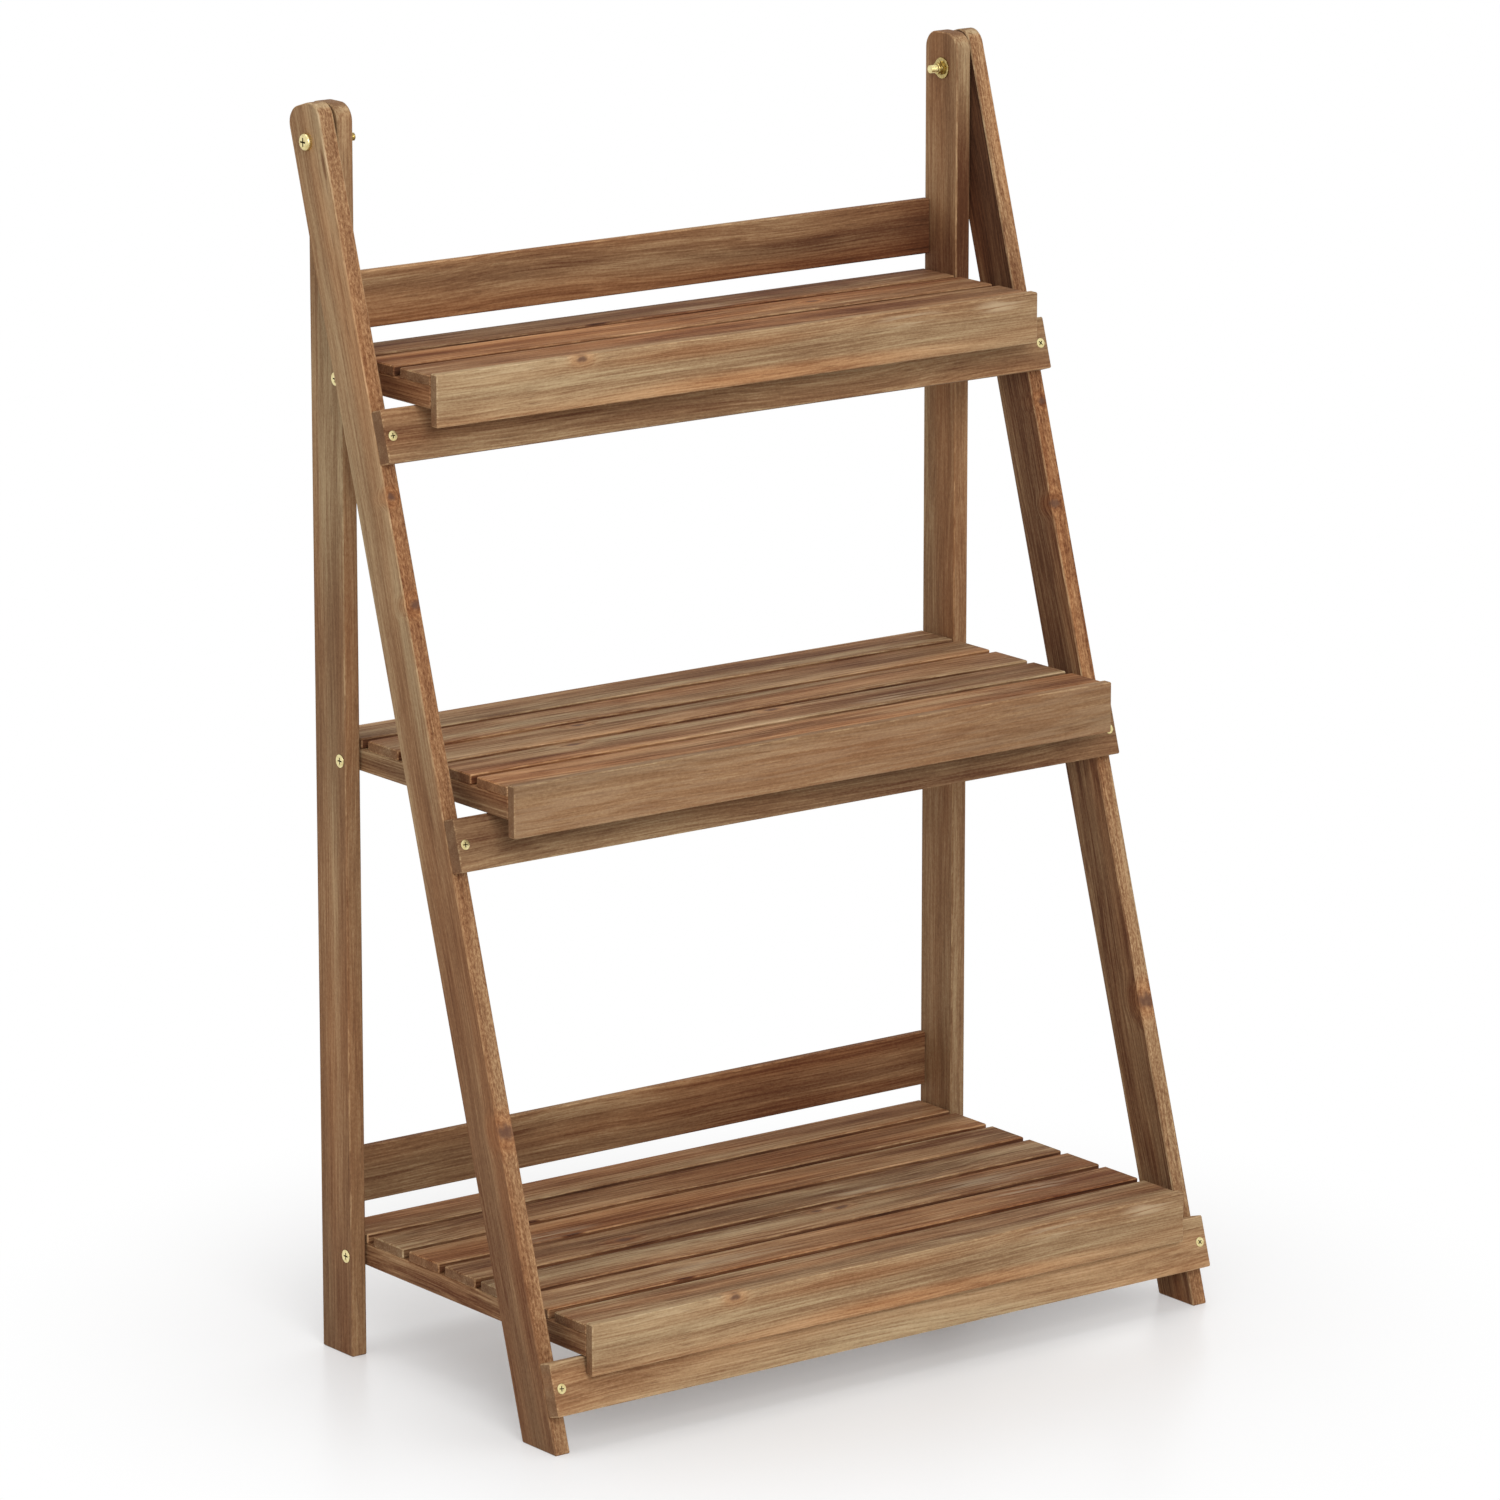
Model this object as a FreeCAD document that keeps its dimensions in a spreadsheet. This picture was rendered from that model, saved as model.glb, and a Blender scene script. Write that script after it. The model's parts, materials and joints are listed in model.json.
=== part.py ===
"""Folding three-tier plant stand: a rear frame, a splayed front frame and three slatted shelves.

The stand faces -Y, +Z is up, and the origin lies on the floor under the middle of the stand.
The front frame swings on two bolts at the top, and each shelf swings up on two screws in the rear legs.
"""
import FreeCAD, Part
import os
import Sketcher

doc = FreeCAD.newDocument("plant_stand")

# Driving dimensions, in millimetres and degrees
DIMENSIONS = {
    # Stance of the two frames
    "stand_width": 600,
    "hinge_height": 899.6,
    "hinge_offset": 1.75,
    # Legs
    "leg_thickness": 13,
    "rear_leg_width": 38.5,
    "front_leg_width": 39,
    "leg_gap": 1.2,
    "leg_top_reach": 27,
    "leg_top_radius": 13,
    "edge_bevel": 0.9,
    # Height of the lowest slats' upper faces, and the gap between each apron and its front rail
    "bottom_shelf_height": 91.6,
    "bottom_apron_gap": 0.6,
    "middle_apron_gap": 22.7,
    "top_apron_gap": 16.8,
    # Shelf boards
    "shelf_side_gap": 1.2,
    "slat_setback": 0.8,
    "slat_width": 38.2,
    "slat_gap": 7.2,
    "slat_thickness": 7.5,
    "cleat_height": 16.6,
    "cleat_thickness": 13,
    "cleat_inset": 5,
    "cleat_tenon_length": 5,
    "cleat_tenon_shoulder": 3.5,
    "apron_thickness": 8.4,
    "apron_height": 38.2,
    "apron_lift": 1.5,
    "pivot_edge": 7,
    # Front rails
    "front_rail_thickness": 13,
    "front_rail_height": 38.8,
    "rest_clearance": 0.1,
    # Back rails and their stub tenons
    "back_rail_thickness": 6.8,
    "back_rail_height": 41.8,
    "upper_back_rail_lift": 12.3,
    "lower_back_rail_lift": 14,
    "tenon_shoulder": 1.4,
    "tenon_cheek": 6,
    "tenon_length": 7,
    # Hinge bolts and what is threaded on them
    "bolt_radius": 3,
    "bolt_head_radius": 6.2,
    "bolt_head_height": 3.8,
    "bolt_head_bevel": 1.8,
    "bolt_end_length": 6.5,
    "washer_radius": 8,
    "washer_thickness": 1.4,
    "nut_flats": 10,
    "nut_height": 5,
    # Pivot screws
    "pivot_screw_radius": 2.5,
    "pivot_head_radius": 5,
    "pivot_head_height": 2.6,
    "pivot_bite": 11,
    # Front rail screws
    "rail_screw_radius": 2,
    "rail_head_radius": 3.8,
    "rail_head_height": 2.2,
    "rail_screw_bite": 24,
    # Clearances
    "fit_clearance": 0.05,
    "face_clearance": 0.2,
    "cut_overrun": 2,
}

SLAT_COUNTS = {"top": 3, "middle": 5, "bottom": 7}
SIDES = (-1, 1)
AXIS_X = FreeCAD.Vector(1, 0, 0)
AXIS_Y = FreeCAD.Vector(0, 1, 0)
TURN_BEFORE_BINDING = 45



def fill_sheet(name, cells):
    sheet = doc.addObject("Spreadsheet::Sheet", name)
    for row, (alias, value) in enumerate(cells.items(), start=1):
        sheet.set(f"A{row}", str(value))
        sheet.setAlias(f"A{row}", alias)
    doc.recompute()


fill_sheet("dims", DIMENSIONS)

# Stance: the splay lets the bottom apron hook over its rail, and each other shelf hangs where it fits

HINGE_SETBACK = "(dims.rear_leg_width / 2 + dims.hinge_offset)"
PIVOT_SETBACK = "(dims.rear_leg_width - dims.pivot_edge)"
APRON_DROP = "(dims.apron_height - dims.apron_lift)"
RAIL_REACH = "(dims.front_leg_width / 2 + dims.front_rail_thickness)"


def shelf_run(shelf):
    """Distance from the rear faces of the rear legs to the back of a shelf's apron."""
    slats = f"{SLAT_COUNTS[shelf]} * dims.slat_width"
    gaps = f"{SLAT_COUNTS[shelf] - 1} * dims.slat_gap"
    return f"(dims.slat_setback + {slats} + {gaps})"


def rail_distance(shelf):
    """Level distance from the hinge to the front of a rail, at the lower edge of its apron."""
    return f"({shelf_run(shelf)} - {HINGE_SETBACK} - dims.{shelf}_apron_gap)"


def splay_formula():
    """The splay at which a rail on the front legs comes just behind the bottom apron."""
    forward = rail_distance("bottom")
    down = f"(dims.hinge_height - dims.bottom_shelf_height + {APRON_DROP})"
    sight = f"sqrt({forward} * {forward} + {down} * {down})"
    return f"=(acos({RAIL_REACH} / {sight}) - atan({down} / {forward})) / 1 deg"


fill_sheet("stance", {"splay_angle": splay_formula()})
COS = "cos(stance.splay_angle)"
SIN = "sin(stance.splay_angle)"
TAN = "tan(stance.splay_angle)"


def height_formula(shelf):
    """The height of the slats at which a shelf's apron hangs its own gap in front of the rail."""
    down = f"({rail_distance(shelf)} - {RAIL_REACH} / {COS}) / {TAN}"
    return f"=dims.hinge_height - {down} + {APRON_DROP}"


fill_sheet("heights", {shelf: height_formula(shelf) for shelf in SLAT_COUNTS})

# Places that several pieces share, as expressions on the sheets

# From the rear legs' rear faces forward to the bottom apron, and back to the front legs' crowns
FORWARD_REACH = f"({shelf_run('bottom')} + dims.apron_thickness)"
CROWN_ACROSS = f"(dims.front_leg_width / 2 - dims.leg_top_radius) * {COS}"
CROWN_ALONG = f"(dims.leg_top_reach - dims.leg_top_radius) * {SIN}"
REARWARD_REACH = f"({CROWN_ACROSS} + {CROWN_ALONG} + dims.leg_top_radius - {HINGE_SETBACK})"
REAR_FACE = f"(({FORWARD_REACH} - {REARWARD_REACH}) / 2)"
HALF_WIDTH = "(dims.stand_width / 2)"
REAR_LEG_OUTSIDE = f"({HALF_WIDTH} - dims.leg_thickness - dims.leg_gap)"
REAR_LEG_INSIDE = f"({REAR_LEG_OUTSIDE} - dims.leg_thickness)"
SHELF_END = f"({REAR_LEG_INSIDE} - dims.shelf_side_gap)"
SHELF_LENGTH = f"(2 * {SHELF_END})"
HINGE_Y = f"({REAR_FACE} - {HINGE_SETBACK})"
PIVOT_Y = f"({REAR_FACE} - {PIVOT_SETBACK})"
# Where the front edge of a front leg would meet the floor
TOE_Y = f"({HINGE_Y} - dims.hinge_height * {TAN} - dims.front_leg_width / 2 / {COS})"


def cleat_bottom(shelf):
    return f"(heights.{shelf} - dims.slat_thickness - dims.cleat_height)"


def pivot_height(shelf):
    return f"({cleat_bottom(shelf)} + dims.cleat_height / 2)"


def rail_start(shelf):
    """Lower edge of a front rail, along the front edge of the leg from the toe.

    The upper front edge of the tilted rail comes just below the cleats that rest on it.
    """
    edge_height = f"({cleat_bottom(shelf)} - dims.rest_clearance - dims.front_rail_thickness * {SIN})"
    return f"({edge_height} / {COS} - dims.front_rail_height)"


def on_front_leg(along, forward):
    """Y and Z of a point along the front edge of the leg, and square forward of that edge."""
    return (
        f"{TOE_Y} + ({along}) * {SIN} - ({forward}) * {COS}",
        f"({along}) * {COS} + ({forward}) * {SIN}",
    )


# Building blocks

sub_parts = []


def name_part(piece, label):
    """Give a finished piece its name and keep it for export."""
    piece.Label = label
    sub_parts.append(piece)
    return piece


def place(piece, x, y, z, axis=None, angle="0"):
    """Bind a piece's place, and its turn about an axis, to the sheet."""
    if axis is not None:
        turn = FreeCAD.Rotation(axis, TURN_BEFORE_BINDING)
        piece.Placement = FreeCAD.Placement(FreeCAD.Vector(), turn)
        piece.setExpression("Placement.Rotation.Angle", angle)
    piece.setExpression("Placement.Base.x", x)
    piece.setExpression("Placement.Base.y", y)
    piece.setExpression("Placement.Base.z", z)
    return piece


def start_sketch(body, name, plane):
    sketch = body.newObject("Sketcher::SketchObject", name)
    support = next(item for item in body.Origin.OriginFeatures if item.Role == plane)
    sketch.AttachmentSupport = [(support, "")]
    sketch.MapMode = "FlatFace"
    return sketch


def pin_corner(sketch, kind, axis, corner, size):
    """Hold one coordinate of a corner on an axis of the sketch, or at a size from it."""
    if size == "0":
        sketch.addConstraint(Sketcher.Constraint("PointOnObject", corner, 1, axis))
        return
    start = sketch.evalExpression(size)
    number = sketch.addConstraint(Sketcher.Constraint(kind, -1, 1, corner, 1, start))
    sketch.setExpression(f"Constraints[{number}]", size)


def closed_outline(body, name, plane, corners):
    """Sketch a closed outline of straight edges, with every corner bound to the sheet."""
    sketch = start_sketch(body, name, plane)
    spots = []
    for across, up in corners:
        spots.append(FreeCAD.Vector(sketch.evalExpression(across), sketch.evalExpression(up), 0))
    numbers = list(range(len(spots)))
    edges = list(zip(numbers, numbers[1:] + numbers[:1]))
    for corner, following in edges:
        sketch.addGeometry(Part.LineSegment(spots[corner], spots[following]))
    for corner, following in edges:
        sketch.addConstraint(Sketcher.Constraint("Coincident", corner, 2, following, 1))
    for corner, (across, up) in enumerate(corners):
        pin_corner(sketch, "DistanceX", -2, corner, across)
        pin_corner(sketch, "DistanceY", -1, corner, up)
    return sketch


def rectangle(width, height):
    return (("0", "0"), (width, "0"), (width, height), ("0", height))


def pad_outline(body, name, plane, corners, thickness):
    pad = body.newObject("PartDesign::Pad", f"{name}_pad")
    pad.Profile = closed_outline(body, f"{name}_outline", plane, corners)
    pad.setExpression("Length", thickness)
    doc.recompute()
    return pad


def round_edges(body, base, name, edges, radius):
    rounded = body.newObject("PartDesign::Fillet", name)
    rounded.Base = (base, edges)
    rounded.setExpression("Radius", radius)
    doc.recompute()
    return rounded


def ease_edges(body, base, name, edges):
    eased = body.newObject("PartDesign::Chamfer", name)
    eased.Base = (base, edges)
    eased.setExpression("Size", "dims.edge_bevel")
    doc.recompute()
    return eased


def edges_where(shape, wanted):
    """Names of the edges whose box passes a test."""
    return [f"Edge{number}" for number, edge in enumerate(shape.Edges, start=1) if wanted(edge.BoundBox)]


def runs_across(box):
    """Whether an edge runs from side to side of the stand."""
    return box.XLength > max(box.YLength, box.ZLength)


def board(name, plane, corners, thickness):
    """A sawn board with all its edges eased."""
    body = doc.addObject("PartDesign::Body", f"{name}_blank")
    pad = pad_outline(body, name, plane, corners, thickness)
    ease_edges(body, pad, f"{name}_eased", edges_where(pad.Shape, lambda box: True))
    return body


def leg_board(name, corners):
    """A leg: a board whose two top corners are rounded before its sharp edges are eased."""
    body = doc.addObject("PartDesign::Body", f"{name}_blank")
    pad = pad_outline(body, name, "YZ_Plane", corners, "dims.leg_thickness")
    middle = pad.Shape.BoundBox.Center.z
    top = edges_where(pad.Shape, lambda box: runs_across(box) and box.ZMin > middle)
    crowned = round_edges(body, pad, f"{name}_crown", top, "dims.leg_top_radius")
    sharp = edges_where(crowned.Shape, lambda box: not runs_across(box) or box.ZMax < middle)
    ease_edges(body, crowned, f"{name}_eased", sharp)
    return body


def turned(name, corners):
    """A body of revolution about Z, from radius and height pairs."""
    body = doc.addObject("PartDesign::Body", name)
    sketch = closed_outline(body, f"{name}_outline", "XZ_Plane", corners)
    revolution = body.newObject("PartDesign::Revolution", f"{name}_turned")
    revolution.Profile = sketch
    revolution.ReferenceAxis = (sketch, ["V_Axis"])
    revolution.Angle = 360
    doc.recompute()
    return body


def countersunk_screw(name, radius, head_radius, head_height, length):
    """A screw driven along +Z, with the flat face of its head on the XY plane."""
    return turned(
        name,
        (
            ("0", "0"),
            (head_radius, "0"),
            (radius, head_height),
            (radius, length),
            ("0", length),
        ),
    )


def countersunk_hole(name, radius, head_radius, head_height, length):
    """The room for a countersunk screw whose head is flush with the surface."""
    clear = "dims.fit_clearance"
    return countersunk_screw(
        name, f"{radius} + {clear}", f"{head_radius} + {clear}", head_height, f"{length} + {clear}"
    )


def copy_of(master, name, x, y, z, axis=None, angle="0"):
    copy = doc.addObject("App::Link", name)
    copy.LinkedObject = master
    return place(copy, x, y, z, axis, angle)


def cylinder_on_hinge(name, radius, x, length):
    """A round bar on the hinge axis, from x towards the right."""
    rod = doc.addObject("Part::Cylinder", name)
    rod.setExpression("Radius", radius)
    rod.setExpression("Height", length)
    return place(rod, x, HINGE_Y, "dims.hinge_height", AXIS_Y, "90")


def bolt_hole(name, outer_x, depth):
    """A hole for the left hinge bolt, right through a piece that starts at an outer face."""
    radius = "dims.bolt_radius + dims.fit_clearance"
    start = f"-({outer_x} + dims.cut_overrun)"
    return cylinder_on_hinge(name, radius, start, f"{depth} + 2 * dims.cut_overrun")


def block(name, length, width, height):
    """A plain box with its sizes bound to the sheets."""
    box = doc.addObject("Part::Box", name)
    box.setExpression("Length", length)
    box.setExpression("Width", width)
    box.setExpression("Height", height)
    return box


def joined(name, pieces):
    fusion = doc.addObject("Part::MultiFuse", name)
    fusion.Shapes = pieces
    return fusion


def group(name, pieces):
    gathered = doc.addObject("Part::Compound", name)
    gathered.Links = pieces
    return gathered


def cut_away(name, blank, tools):
    cut = doc.addObject("Part::Cut", name)
    cut.Base = blank
    cut.Tool = group(f"{name}_tools", tools)
    return cut


def mirrored(name, piece):
    """The same piece on the other side of the stand."""
    other = doc.addObject("Part::Mirroring", name)
    other.Source = piece
    other.Normal = AXIS_X
    return other


def name_pair(left, label):
    """Name a left piece and its mirror image as one group of two solids."""
    name_part(group(label, [left, mirrored(f"{label}_right", left)]), label)


# Fasteners, each modelled once along +Z

PIVOT_LENGTH = "(dims.leg_thickness + dims.shelf_side_gap + dims.pivot_bite)"
PIVOT_SCREW = ("dims.pivot_screw_radius", "dims.pivot_head_radius", "dims.pivot_head_height", PIVOT_LENGTH)
pivot_screw = countersunk_screw("pivot_screw", *PIVOT_SCREW)
pivot_hole = countersunk_hole("pivot_hole", *PIVOT_SCREW)

RAIL_LENGTH = "(dims.front_rail_thickness + dims.rail_screw_bite)"
RAIL_SCREW = ("dims.rail_screw_radius", "dims.rail_head_radius", "dims.rail_head_height", RAIL_LENGTH)
rail_screw = countersunk_screw("rail_screw", *RAIL_SCREW)
rail_hole = countersunk_hole("rail_hole", *RAIL_SCREW)


def hinge_bolt_body():
    """A pan-head bolt driven along +Z, with the top of its head on the XY plane."""
    clamped = "2 * dims.leg_thickness + dims.leg_gap + dims.face_clearance"
    threaded = "dims.washer_thickness + dims.nut_height + dims.bolt_end_length"
    tip = f"dims.bolt_head_height + {clamped} + {threaded}"
    return turned(
        "hinge_bolt",
        (
            ("0", "0"),
            ("dims.bolt_head_radius - dims.bolt_head_bevel", "0"),
            ("dims.bolt_head_radius", "dims.bolt_head_bevel"),
            ("dims.bolt_head_radius", "dims.bolt_head_height"),
            ("dims.bolt_radius", "dims.bolt_head_height"),
            ("dims.bolt_radius", tip),
            ("0", tip),
        ),
    )


hinge_bolt = hinge_bolt_body()

# Rear frame: legs, back rails and the hinge hardware that they carry

REAR_LEG_HEIGHT = "(dims.hinge_height + dims.leg_top_reach)"
BACK_RAILS = (("upper", "top"), ("lower", "bottom"))
TENON_WIDTH = "dims.back_rail_thickness - 2 * dims.tenon_shoulder"
TENON_HEIGHT = "dims.back_rail_height - 2 * dims.tenon_cheek"


def back_rail_height(place_name, shelf):
    return f"heights.{shelf} + dims.{place_name}_back_rail_lift"


def back_rail(place_name, shelf):
    """A board between the rear legs, with a stub tenon at each end."""
    name = f"{place_name}_back_rail"
    floor_height = back_rail_height(place_name, shelf)
    span = f"2 * {REAR_LEG_INSIDE}"
    blank = board(name, "XZ_Plane", rectangle(span, "dims.back_rail_height"), "dims.back_rail_thickness")
    place(blank, f"-{REAR_LEG_INSIDE}", REAR_FACE, floor_height)
    tenons = []
    for side in SIDES:
        tenon = block(f"{name}_tenon", "dims.tenon_length + dims.edge_bevel", TENON_WIDTH, TENON_HEIGHT)
        inner = f"{REAR_LEG_INSIDE} - dims.edge_bevel"
        outer = f"{REAR_LEG_INSIDE} + dims.tenon_length"
        start = inner if side > 0 else f"-({outer})"
        depth = f"{REAR_FACE} - dims.back_rail_thickness + dims.tenon_shoulder"
        tenons.append(place(tenon, start, depth, f"{floor_height} + dims.tenon_cheek"))
    name_part(joined(name, [blank] + tenons), name)


def mortise(place_name, shelf):
    """The blind slot in the left rear leg that takes a back rail's tenon."""
    slot = block(
        f"{place_name}_mortise",
        "dims.tenon_length + dims.fit_clearance + dims.cut_overrun",
        f"{TENON_WIDTH} + 2 * dims.fit_clearance",
        f"{TENON_HEIGHT} + 2 * dims.fit_clearance",
    )
    start = f"-({REAR_LEG_INSIDE} + dims.tenon_length + dims.fit_clearance)"
    depth = f"{REAR_FACE} - dims.back_rail_thickness + dims.tenon_shoulder - dims.fit_clearance"
    height = f"{back_rail_height(place_name, shelf)} + dims.tenon_cheek - dims.fit_clearance"
    return place(slot, start, depth, height)


def rear_legs():
    blank = leg_board("rear_leg", rectangle("dims.rear_leg_width", REAR_LEG_HEIGHT))
    place(blank, f"-{REAR_LEG_OUTSIDE}", f"{REAR_FACE} - dims.rear_leg_width", "0")
    tools = [bolt_hole("rear_leg_hinge_hole", REAR_LEG_OUTSIDE, "dims.leg_thickness")]
    for shelf in SLAT_COUNTS:
        tools.append(pivot_copy(pivot_hole, f"{shelf}_pivot_hole_leg", shelf, -1))
    for place_name, shelf in BACK_RAILS:
        tools.append(mortise(place_name, shelf))
    left = name_part(cut_away("rear_leg_left", blank, tools), "rear_leg_left")
    name_part(mirrored("rear_leg_right", left), "rear_leg_right")


def pivot_copy(master, name, shelf, side):
    """A pivot screw or its hole, driven inwards from a rear leg's outer face."""
    x = f"{side} * {REAR_LEG_OUTSIDE}"
    return copy_of(master, name, x, PIVOT_Y, pivot_height(shelf), AXIS_Y, f"{-90 * side}")


def hinge_washers():
    face = REAR_LEG_INSIDE
    disc = cylinder_on_hinge("hinge_washer_disc", "dims.washer_radius", f"-{face}", "dims.washer_thickness")
    hole = bolt_hole("hinge_washer_hole", face, "dims.washer_thickness")
    name_pair(cut_away("hinge_washer_left", disc, [hole]), "hinge_washers")


def hinge_nuts():
    face = f"{REAR_LEG_INSIDE} - dims.washer_thickness"
    blank = doc.addObject("Part::Prism", "hinge_nut_blank")
    blank.Polygon = 6
    blank.setExpression("Circumradius", "dims.nut_flats / 2 / cos(30)")
    blank.setExpression("Height", "dims.nut_height")
    place(blank, f"-({face})", HINGE_Y, "dims.hinge_height", AXIS_Y, "90")
    hole = bolt_hole("hinge_nut_hole", face, "dims.nut_height")
    name_pair(cut_away("hinge_nut_left", blank, [hole]), "hinge_nuts")


def hinge_bolts():
    head_top = f"{HALF_WIDTH} + dims.face_clearance + dims.bolt_head_height"
    place(hinge_bolt, f"-({head_top})", HINGE_Y, "dims.hinge_height", AXIS_Y, "90")
    name_pair(hinge_bolt, "hinge_bolts")


rear_legs()
for rail_place, rail_shelf in BACK_RAILS:
    back_rail(rail_place, rail_shelf)
hinge_bolts()
hinge_washers()
hinge_nuts()

# Front frame: slanted legs and the rails screwed to their front edges


def rail_copy(master, name, shelf, side):
    """A rail screw or its hole, driven square into a leg's front edge at mid height of the rail."""
    along = f"{rail_start(shelf)} + dims.front_rail_height / 2"
    y, z = on_front_leg(along, "dims.front_rail_thickness")
    x = f"{side} * ({HALF_WIDTH} - dims.leg_thickness / 2)"
    return copy_of(master, name, x, y, z, -AXIS_X, "90 + stance.splay_angle")


def front_legs():
    full_length = f"dims.hinge_height / {COS} + dims.front_leg_width / 2 * {TAN} + dims.leg_top_reach"
    corners = (
        ("0", "0"),
        ("dims.front_leg_width", f"dims.front_leg_width * {TAN}"),
        ("dims.front_leg_width", full_length),
        ("0", full_length),
    )
    blank = leg_board("front_leg", corners)
    place(blank, f"-{HALF_WIDTH}", TOE_Y, "0", -AXIS_X, "stance.splay_angle")
    tools = [bolt_hole("front_leg_hinge_hole", HALF_WIDTH, "dims.leg_thickness")]
    for shelf in SLAT_COUNTS:
        tools.append(rail_copy(rail_hole, f"{shelf}_rail_hole_leg", shelf, -1))
    left = name_part(cut_away("front_leg_left", blank, tools), "front_leg_left")
    name_part(mirrored("front_leg_right", left), "front_leg_right")


def front_rail(shelf):
    name = f"front_rail_{shelf}"
    corners = rectangle("dims.stand_width", "dims.front_rail_height")
    blank = board(name, "XZ_Plane", corners, "dims.front_rail_thickness")
    y, z = on_front_leg(rail_start(shelf), "0")
    place(blank, f"-{HALF_WIDTH}", y, z, -AXIS_X, "stance.splay_angle")
    holes = [rail_copy(rail_hole, f"{name}_hole", shelf, side) for side in SIDES]
    name_part(cut_away(name, blank, holes), name)


front_legs()
rail_screws = []
for shelf_name in SLAT_COUNTS:
    front_rail(shelf_name)
    for screw_side in SIDES:
        rail_screws.append(rail_copy(rail_screw, f"{shelf_name}_rail_screw", shelf_name, screw_side))
name_part(group("front_rail_screws", rail_screws), "front_rail_screws")

# Shelves: slats on two cleats that are tenoned into an apron

CLEAT_TENON_WIDTH = "dims.cleat_thickness - 2 * dims.cleat_tenon_shoulder"
CLEAT_TENON_HEIGHT = "dims.cleat_height - 2 * dims.cleat_tenon_shoulder"


def apron_back(shelf):
    return f"({REAR_FACE} - {shelf_run(shelf)})"


def slats(shelf):
    pitch = "(dims.slat_width + dims.slat_gap)"
    for number in range(SLAT_COUNTS[shelf]):
        name = f"{shelf}_slat_{number + 1}"
        slat = board(name, "XY_Plane", rectangle(SHELF_LENGTH, "dims.slat_width"), "dims.slat_thickness")
        front_edge = f"{REAR_FACE} - dims.slat_setback - {number} * {pitch} - dims.slat_width"
        place(slat, f"-{SHELF_END}", front_edge, f"heights.{shelf} - dims.slat_thickness")
        name_part(slat, name)


def cleats(shelf):
    """The two battens under the slat ends, each with a pivot hole and a stub tenon at the front."""
    name = f"{shelf}_cleat"
    length = f"{shelf_run(shelf)} - dims.slat_setback - dims.cleat_inset"
    batten = board(name, "YZ_Plane", rectangle(length, "dims.cleat_height"), "dims.cleat_thickness")
    place(batten, f"-{SHELF_END}", apron_back(shelf), cleat_bottom(shelf))
    tenon_depth = "dims.cleat_tenon_length + dims.edge_bevel"
    tenon = block(f"{name}_tenon", CLEAT_TENON_WIDTH, tenon_depth, CLEAT_TENON_HEIGHT)
    place(
        tenon,
        f"-{SHELF_END} + dims.cleat_tenon_shoulder",
        f"{apron_back(shelf)} - dims.cleat_tenon_length",
        f"{cleat_bottom(shelf)} + dims.cleat_tenon_shoulder",
    )
    hole = pivot_copy(pivot_hole, f"{name}_pivot_hole", shelf, -1)
    cleat = cut_away(f"{name}_left", joined(f"{name}_blank", [batten, tenon]), [hole])
    left = name_part(cleat, f"{name}_left")
    name_part(mirrored(f"{name}_right", left), f"{name}_right")


def cleat_mortise(shelf, side):
    """The blind slot in the back of an apron that takes a cleat's tenon."""
    slot = block(
        f"{shelf}_cleat_mortise",
        f"{CLEAT_TENON_WIDTH} + 2 * dims.fit_clearance",
        "dims.cleat_tenon_length + dims.fit_clearance + dims.cut_overrun",
        f"{CLEAT_TENON_HEIGHT} + 2 * dims.fit_clearance",
    )
    middle = f"{side} * ({SHELF_END} - dims.cleat_thickness / 2)"
    return place(
        slot,
        f"{middle} - ({CLEAT_TENON_WIDTH}) / 2 - dims.fit_clearance",
        f"{apron_back(shelf)} - dims.cleat_tenon_length - dims.fit_clearance",
        f"{cleat_bottom(shelf)} + dims.cleat_tenon_shoulder - dims.fit_clearance",
    )


def apron(shelf):
    name = f"{shelf}_apron"
    blank = board(name, "XZ_Plane", rectangle(SHELF_LENGTH, "dims.apron_height"), "dims.apron_thickness")
    place(blank, f"-{SHELF_END}", apron_back(shelf), f"heights.{shelf} - {APRON_DROP}")
    name_part(cut_away(name, blank, [cleat_mortise(shelf, side) for side in SIDES]), name)


def pivot_screws(shelf):
    name = f"{shelf}_pivot_screws"
    name_part(group(name, [pivot_copy(pivot_screw, f"{name}_copy", shelf, side) for side in SIDES]), name)


for shelf_name in SLAT_COUNTS:
    slats(shelf_name)
    cleats(shelf_name)
    apron(shelf_name)
    pivot_screws(shelf_name)

doc.recompute()

# Check every object before anything is written

for item in doc.Objects:
    if "Invalid" in item.State or "Error" in item.State:
        raise RuntimeError(f"{item.Name} could not be built: {item.State}")
for piece in sub_parts:
    if piece.Shape.isNull() or not piece.Shape.isValid():
        raise RuntimeError(f"{piece.Label} has no valid shape")
    if not piece.Shape.Solids:
        raise RuntimeError(f"{piece.Label} holds no solid")

os.makedirs("parts", exist_ok=True)
for piece in sub_parts:
    piece.Shape.exportStep(f"parts/{piece.Label}.step")
print(f"{len(sub_parts)} sub-parts written")
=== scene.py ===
"""Studio picture of the folding plant stand.

The boards keep their built shapes and get a stained wood finish, each with its own grain and marks.
The screws, bolts, nuts and washers are modelled here, with cross recesses, rounded heads and threads.
"""
import json
import math

import bpy
from mathutils import Matrix, Vector

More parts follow.
